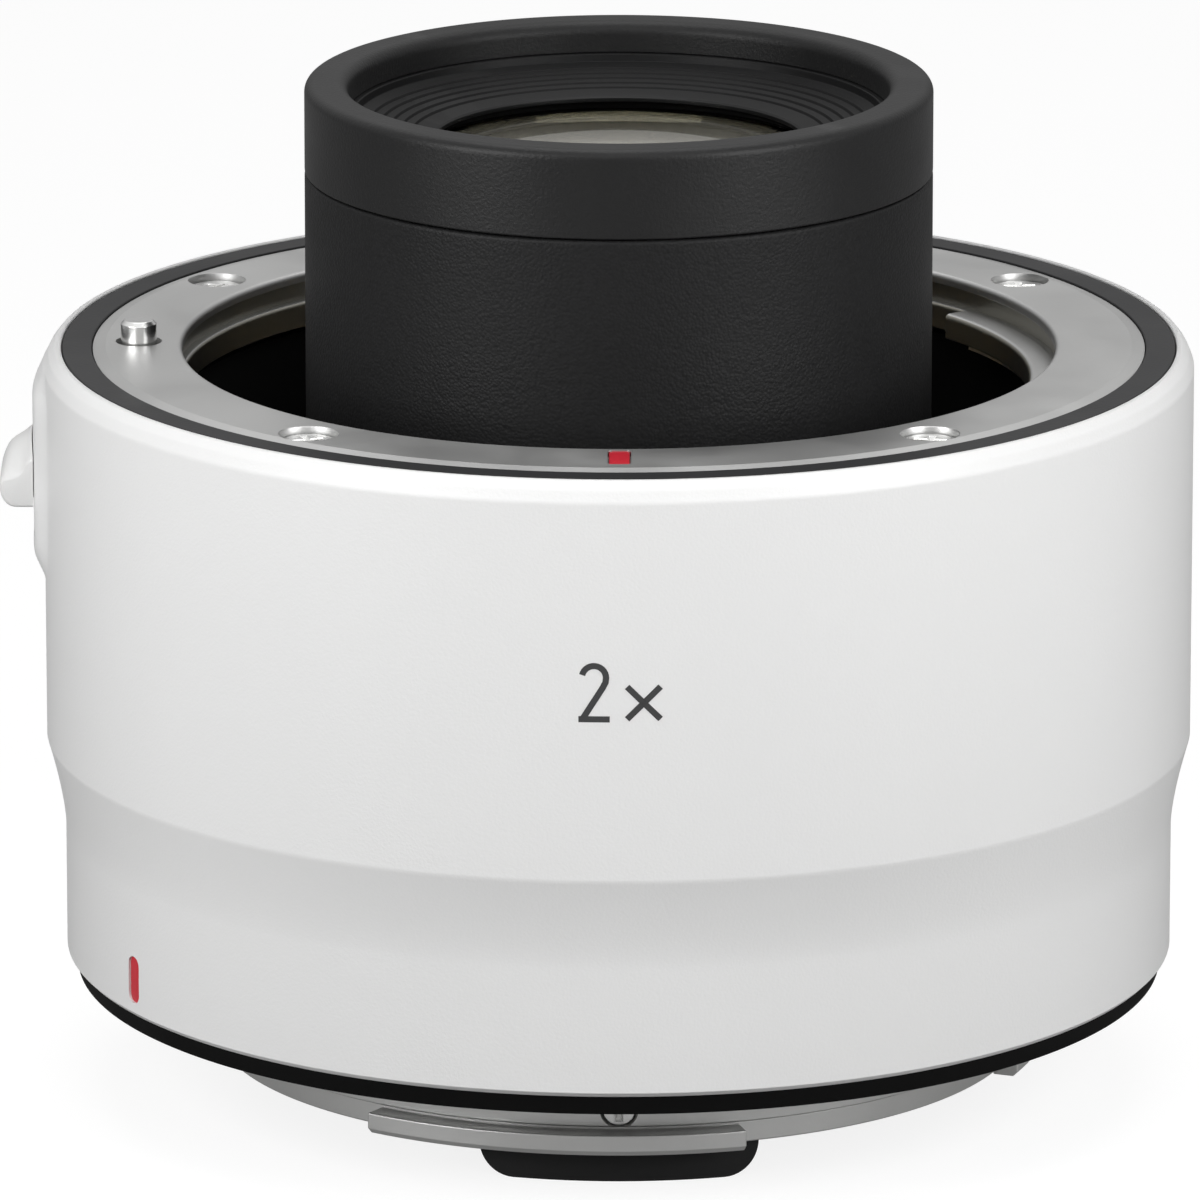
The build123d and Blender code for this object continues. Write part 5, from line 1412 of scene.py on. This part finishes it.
    def build(self) -> None:
        """Makes the visible pieces of the camera side."""
        paints = self.lathe.paints
        # Lit and shaded copies of one steel: the lighter copy on the lit faces is painted light, the darker one on
        # the shaded tops is painted shade.
        present(paints, "camera_mount", self.ring(), "bayonet_metal", ["camera_mount_ring"],
                finishes=["bayonet_lit_copy", "bayonet_metal"], pick=self.is_shaded)
        present(paints, "flange_screws", self.screws(), "screw_steel", ["camera_mount_screws"])
        present(paints, "small_screws", self.small_screws(), "screw_steel", ["rear_screws"])
        present(paints, "seal_band", self.seal(), "rubber_black", ["seal_ring"])


@dataclass
class Springs:
    """The coils under the contact pins and the lock pin. Sizes are in mm."""

    paints: Paintbox
    contact_circle: float = 22.6
    contact_start: float = 149.2
    contact_pitch: float = 5.6
    contact_count: int = 12
    contact_wire: Point2 = (0.655, 0.09)
    contact_span: Point2 = (26.5, 28.85)
    contact_travel: float = 0.7
    lock_circle: float = 29.7
    lock_azimuth: float = -90.0
    lock_wire: Point2 = (1.3, 0.12)
    lock_span: Point2 = (24.0, 28.5)
    lock_travel: float = 2.0
    turns: int = 6
    steps_round: int = 18
    wire_sides: int = 8

    def coil(self, name: str, centre: Vector, helix: Point2, span: Point2) -> Mesh:
        """Sweeps a round wire along a helix.

        Args:
            name: the mesh's name.
            centre: the coil's axis.
            helix: the helix's radius and the wire's.
            span: the coil's lower and upper end.

        Returns:
            The coil's mesh.
        """
        radius, wire = helix
        low, high = span[0] + wire, span[1] - wire
        steps = self.turns * self.steps_round
        sections = []
        for step in range(steps + 1):
            angle = 2 * math.pi * step / self.steps_round
            height = low + (high - low) * step / steps
            section = []
            for side in range(self.wire_sides):
                tilt = 2 * math.pi * side / self.wire_sides
                reach = radius + wire * math.cos(tilt)
                point = (reach * math.cos(angle), reach * math.sin(angle), height + wire * math.sin(tilt))
                section.append(centre + Vector(point))
            sections.append(section)
        return loft(name, sections)

    def place(self, name: str, mesh: Mesh, node: str, joint: str, span: Point2, travel: float) -> None:
        """Presents a coil and gives it a mesh of its own."""
        length = span[1] - span[0]
        piece = present(self.paints, name, mesh, "spring_steel", [node])
        span[0] * MM
        (length - travel) / length
        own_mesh(piece)

    def build(self) -> None:
        """Makes every coil."""
        for number in range(self.contact_count):
            label = f"{number + 1:02d}"
            centre = around(self.contact_circle, self.contact_start + self.contact_pitch * number)
            mesh = self.coil("contact_coil_" + label, centre, self.contact_wire, self.contact_span)
            self.place("contact_coil_" + label, mesh, "contact_springs", f"contact_pin_{label}_slide",
                       self.contact_span, self.contact_travel)
        centre = around(self.lock_circle, self.lock_azimuth)
        mesh = self.coil("lock_coil", centre, self.lock_wire, self.lock_span)
        self.place("lock_coil", mesh, "lock_pin_spring", "lock_pin_slide", self.lock_span, self.lock_travel)


@dataclass
class CarriedParts:
    """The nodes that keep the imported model's shape and get a finish only."""

    paints: Paintbox

    def build(self) -> None:
        """Gives every node its slot's finish, and the glass behind the front element a darker copy of the glass as
        painted shade.
        """
        slots = {part["node"]: part["material_slot"] for part in frame["record"]["subparts"]}
        for name, node in frame["nodes"].items():
            inner = name.startswith("lens_element_")
            node.data.materials.clear()
            # The elements behind the front one get the darker glass: painted shade.
            node.data.materials.append(self.paints["inner_glass" if inner else slots[name]])
            LOG.info("%s: %s", name, slots[name])


# ---------------------------------------------------------------- studio


@dataclass
class Studio:
    """Floor, lamps, backdrop and camera. Sizes are in metres."""

    floor_height: float = -0.0077
    floor_reach: float = 6.0
    floor_grey: float = 0.20
    floor_seen: float = 0.85
    floor_mirrored: float = 0.15
    fill: float = 0.05
    sky_end: float = 0.75
    horizon_mirrored: float = 0.18
    zenith_mirrored: float = 0.9
    aim_height: float = 0.025
    front_power: float = 0.088
    front_height: float = 45.0
    front_size: float = 0.15
    front_distance: float = 0.3
    side_power: float = 0.238
    side_azimuth: float = 48.5
    side_height: float = 20.0
    side_size: float = 0.11
    side_distance: float = 0.19
    top_power: float = 2.7
    top_azimuth: float = 180.0
    top_height: float = 78.0
    top_size: float = 0.6
    top_distance: float = 0.8
    lens: float = 406.2
    sensor: float = 36.0
    clip: Point2 = (0.01, 50.0)
    camera_place: Corner = (-0.00116, -0.81404, 0.23876)
    camera_tilt: float = 75.136

    @staticmethod
    def rays(graph: Graph) -> tuple[Socket, Socket]:
        """Returns the masks of the camera's rays and of the mirrored and refracted ones."""
        path = graph.node("ShaderNodeLightPath")
        return path["Is Camera Ray"], graph.math("MAXIMUM", path["Is Glossy Ray"], path["Is Transmission Ray"])

    def floor(self) -> None:
        """Lays the pale floor, which keeps the object's shadow."""
        mesh = bpy.data.meshes.new("floor")
        far = self.floor_reach
        corners = ((-far, -far), (far, -far), (far, far), (-far, far))
        mesh.from_pydata([(x, y, self.floor_height) for x, y in corners], [], [(0, 1, 2, 3)])
        material = bpy.data.materials.new("pale_floor")
        material.use_nodes = True
        graph = Graph(material.node_tree)
        seen, mirrored = self.rays(graph)
        glow = graph.math("MULTIPLY", seen, self.floor_seen)
        grey = self.floor_grey
        graph.feed(graph.tree.nodes["Principled BSDF"], {
            "Base Color": (grey, grey, grey, 1.0), "Roughness": 0.9, "Emission Color": (1.0, 1.0, 1.0, 1.0),
            "Emission Strength": graph.math("MULTIPLY_ADD", mirrored, self.floor_mirrored, glow),
        })
        mesh.materials.append(material)
        put(mesh, "floor")

    def backdrop(self) -> None:
        """Sets a white backdrop for the camera, a softer sky for reflections and a dim fill for the rest."""
        world = bpy.data.worlds.new("backdrop")
        bpy.context.scene.world = world
        world.use_nodes = True
        graph = Graph(world.node_tree)
        seen, mirrored = self.rays(graph)
        way = graph.node("ShaderNodeSeparateXYZ", {0: graph.own()})["Z"]
        sky = graph.spread(way, (0.0, self.sky_end), (self.horizon_mirrored, self.zenith_mirrored))
        level = graph.math("MULTIPLY", mirrored, graph.math("SUBTRACT", sky, self.fill))
        level = graph.math("ADD", level, self.fill)
        graph.feed(graph.tree.nodes["Background"], {
            "Strength": graph.math("MULTIPLY_ADD", seen, 1.0 - self.fill, level),
            "Color": (1.0, 1.0, 1.0, 1.0),
        })

    def lamp(self, name: str, power: float, azimuth: float, elevation: float, size: float, distance: float) -> None:
        """Adds one soft square lamp that faces the object.

        Args:
            name: the lamp's name.
            power: its power in watts.
            azimuth: where it stands, in degrees from the front.
            elevation: its height above the floor, in degrees.
            size: its side.
            distance: its distance from the object.
        """
        data = bpy.data.lights.new(name, "AREA")
        data.shape, data.size, data.energy = "SQUARE", size, power
        lamp = bpy.data.objects.new(name, data)
        bpy.context.scene.collection.objects.link(lamp)
        level = math.radians(elevation)
        direction = around(math.cos(level), azimuth, math.sin(level))
        lamp.location = Vector((0.0, 0.0, self.aim_height)) + direction * distance
        lamp.rotation_euler = (-direction).to_track_quat("-Z", "Y").to_euler()

    def camera(self) -> None:
        """Sets the camera at the photograph's viewing angle."""
        data = bpy.data.cameras.new("camera")
        data.sensor_width, data.lens = self.sensor, self.lens
        data.clip_start, data.clip_end = self.clip
        camera = bpy.data.objects.new("camera", data)
        camera.location = self.camera_place
        camera.rotation_euler = (math.radians(self.camera_tilt), 0.0, 0.0)
        bpy.context.scene.collection.objects.link(camera)
        bpy.context.scene.camera = camera

    def build(self) -> None:
        """Sets the studio up."""
        self.floor()
        self.backdrop()
        for side, label in ((-1, "left"), (1, "right")):
            self.lamp("side_lamp_" + label, self.side_power, side * self.side_azimuth, self.side_height,
                      self.side_size, self.side_distance)
        self.lamp("front_lamp", self.front_power, 0.0, self.front_height, self.front_size, self.front_distance)
        self.lamp("top_lamp", self.top_power, self.top_azimuth, self.top_height, self.top_size,
                  self.top_distance)
        self.camera()
        bpy.context.scene.view_settings.view_transform = "Standard"


def main() -> None:
    """Builds the studio and every piece."""
    logging.basicConfig(level=logging.INFO, format="%(name)s %(message)s")
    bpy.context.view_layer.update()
    paints = Paintbox()
    lathe = Lathe(paints)
    for assembly in (
        Studio(), CarriedParts(paints), Barrel(lathe), MagnificationMark(lathe), ReleaseLever(lathe),
        LensMount(lathe), LensTube(lathe), CameraMount(lathe), Springs(paints),
    ):
        assembly.build()


if __name__ == "__main__":
    main()
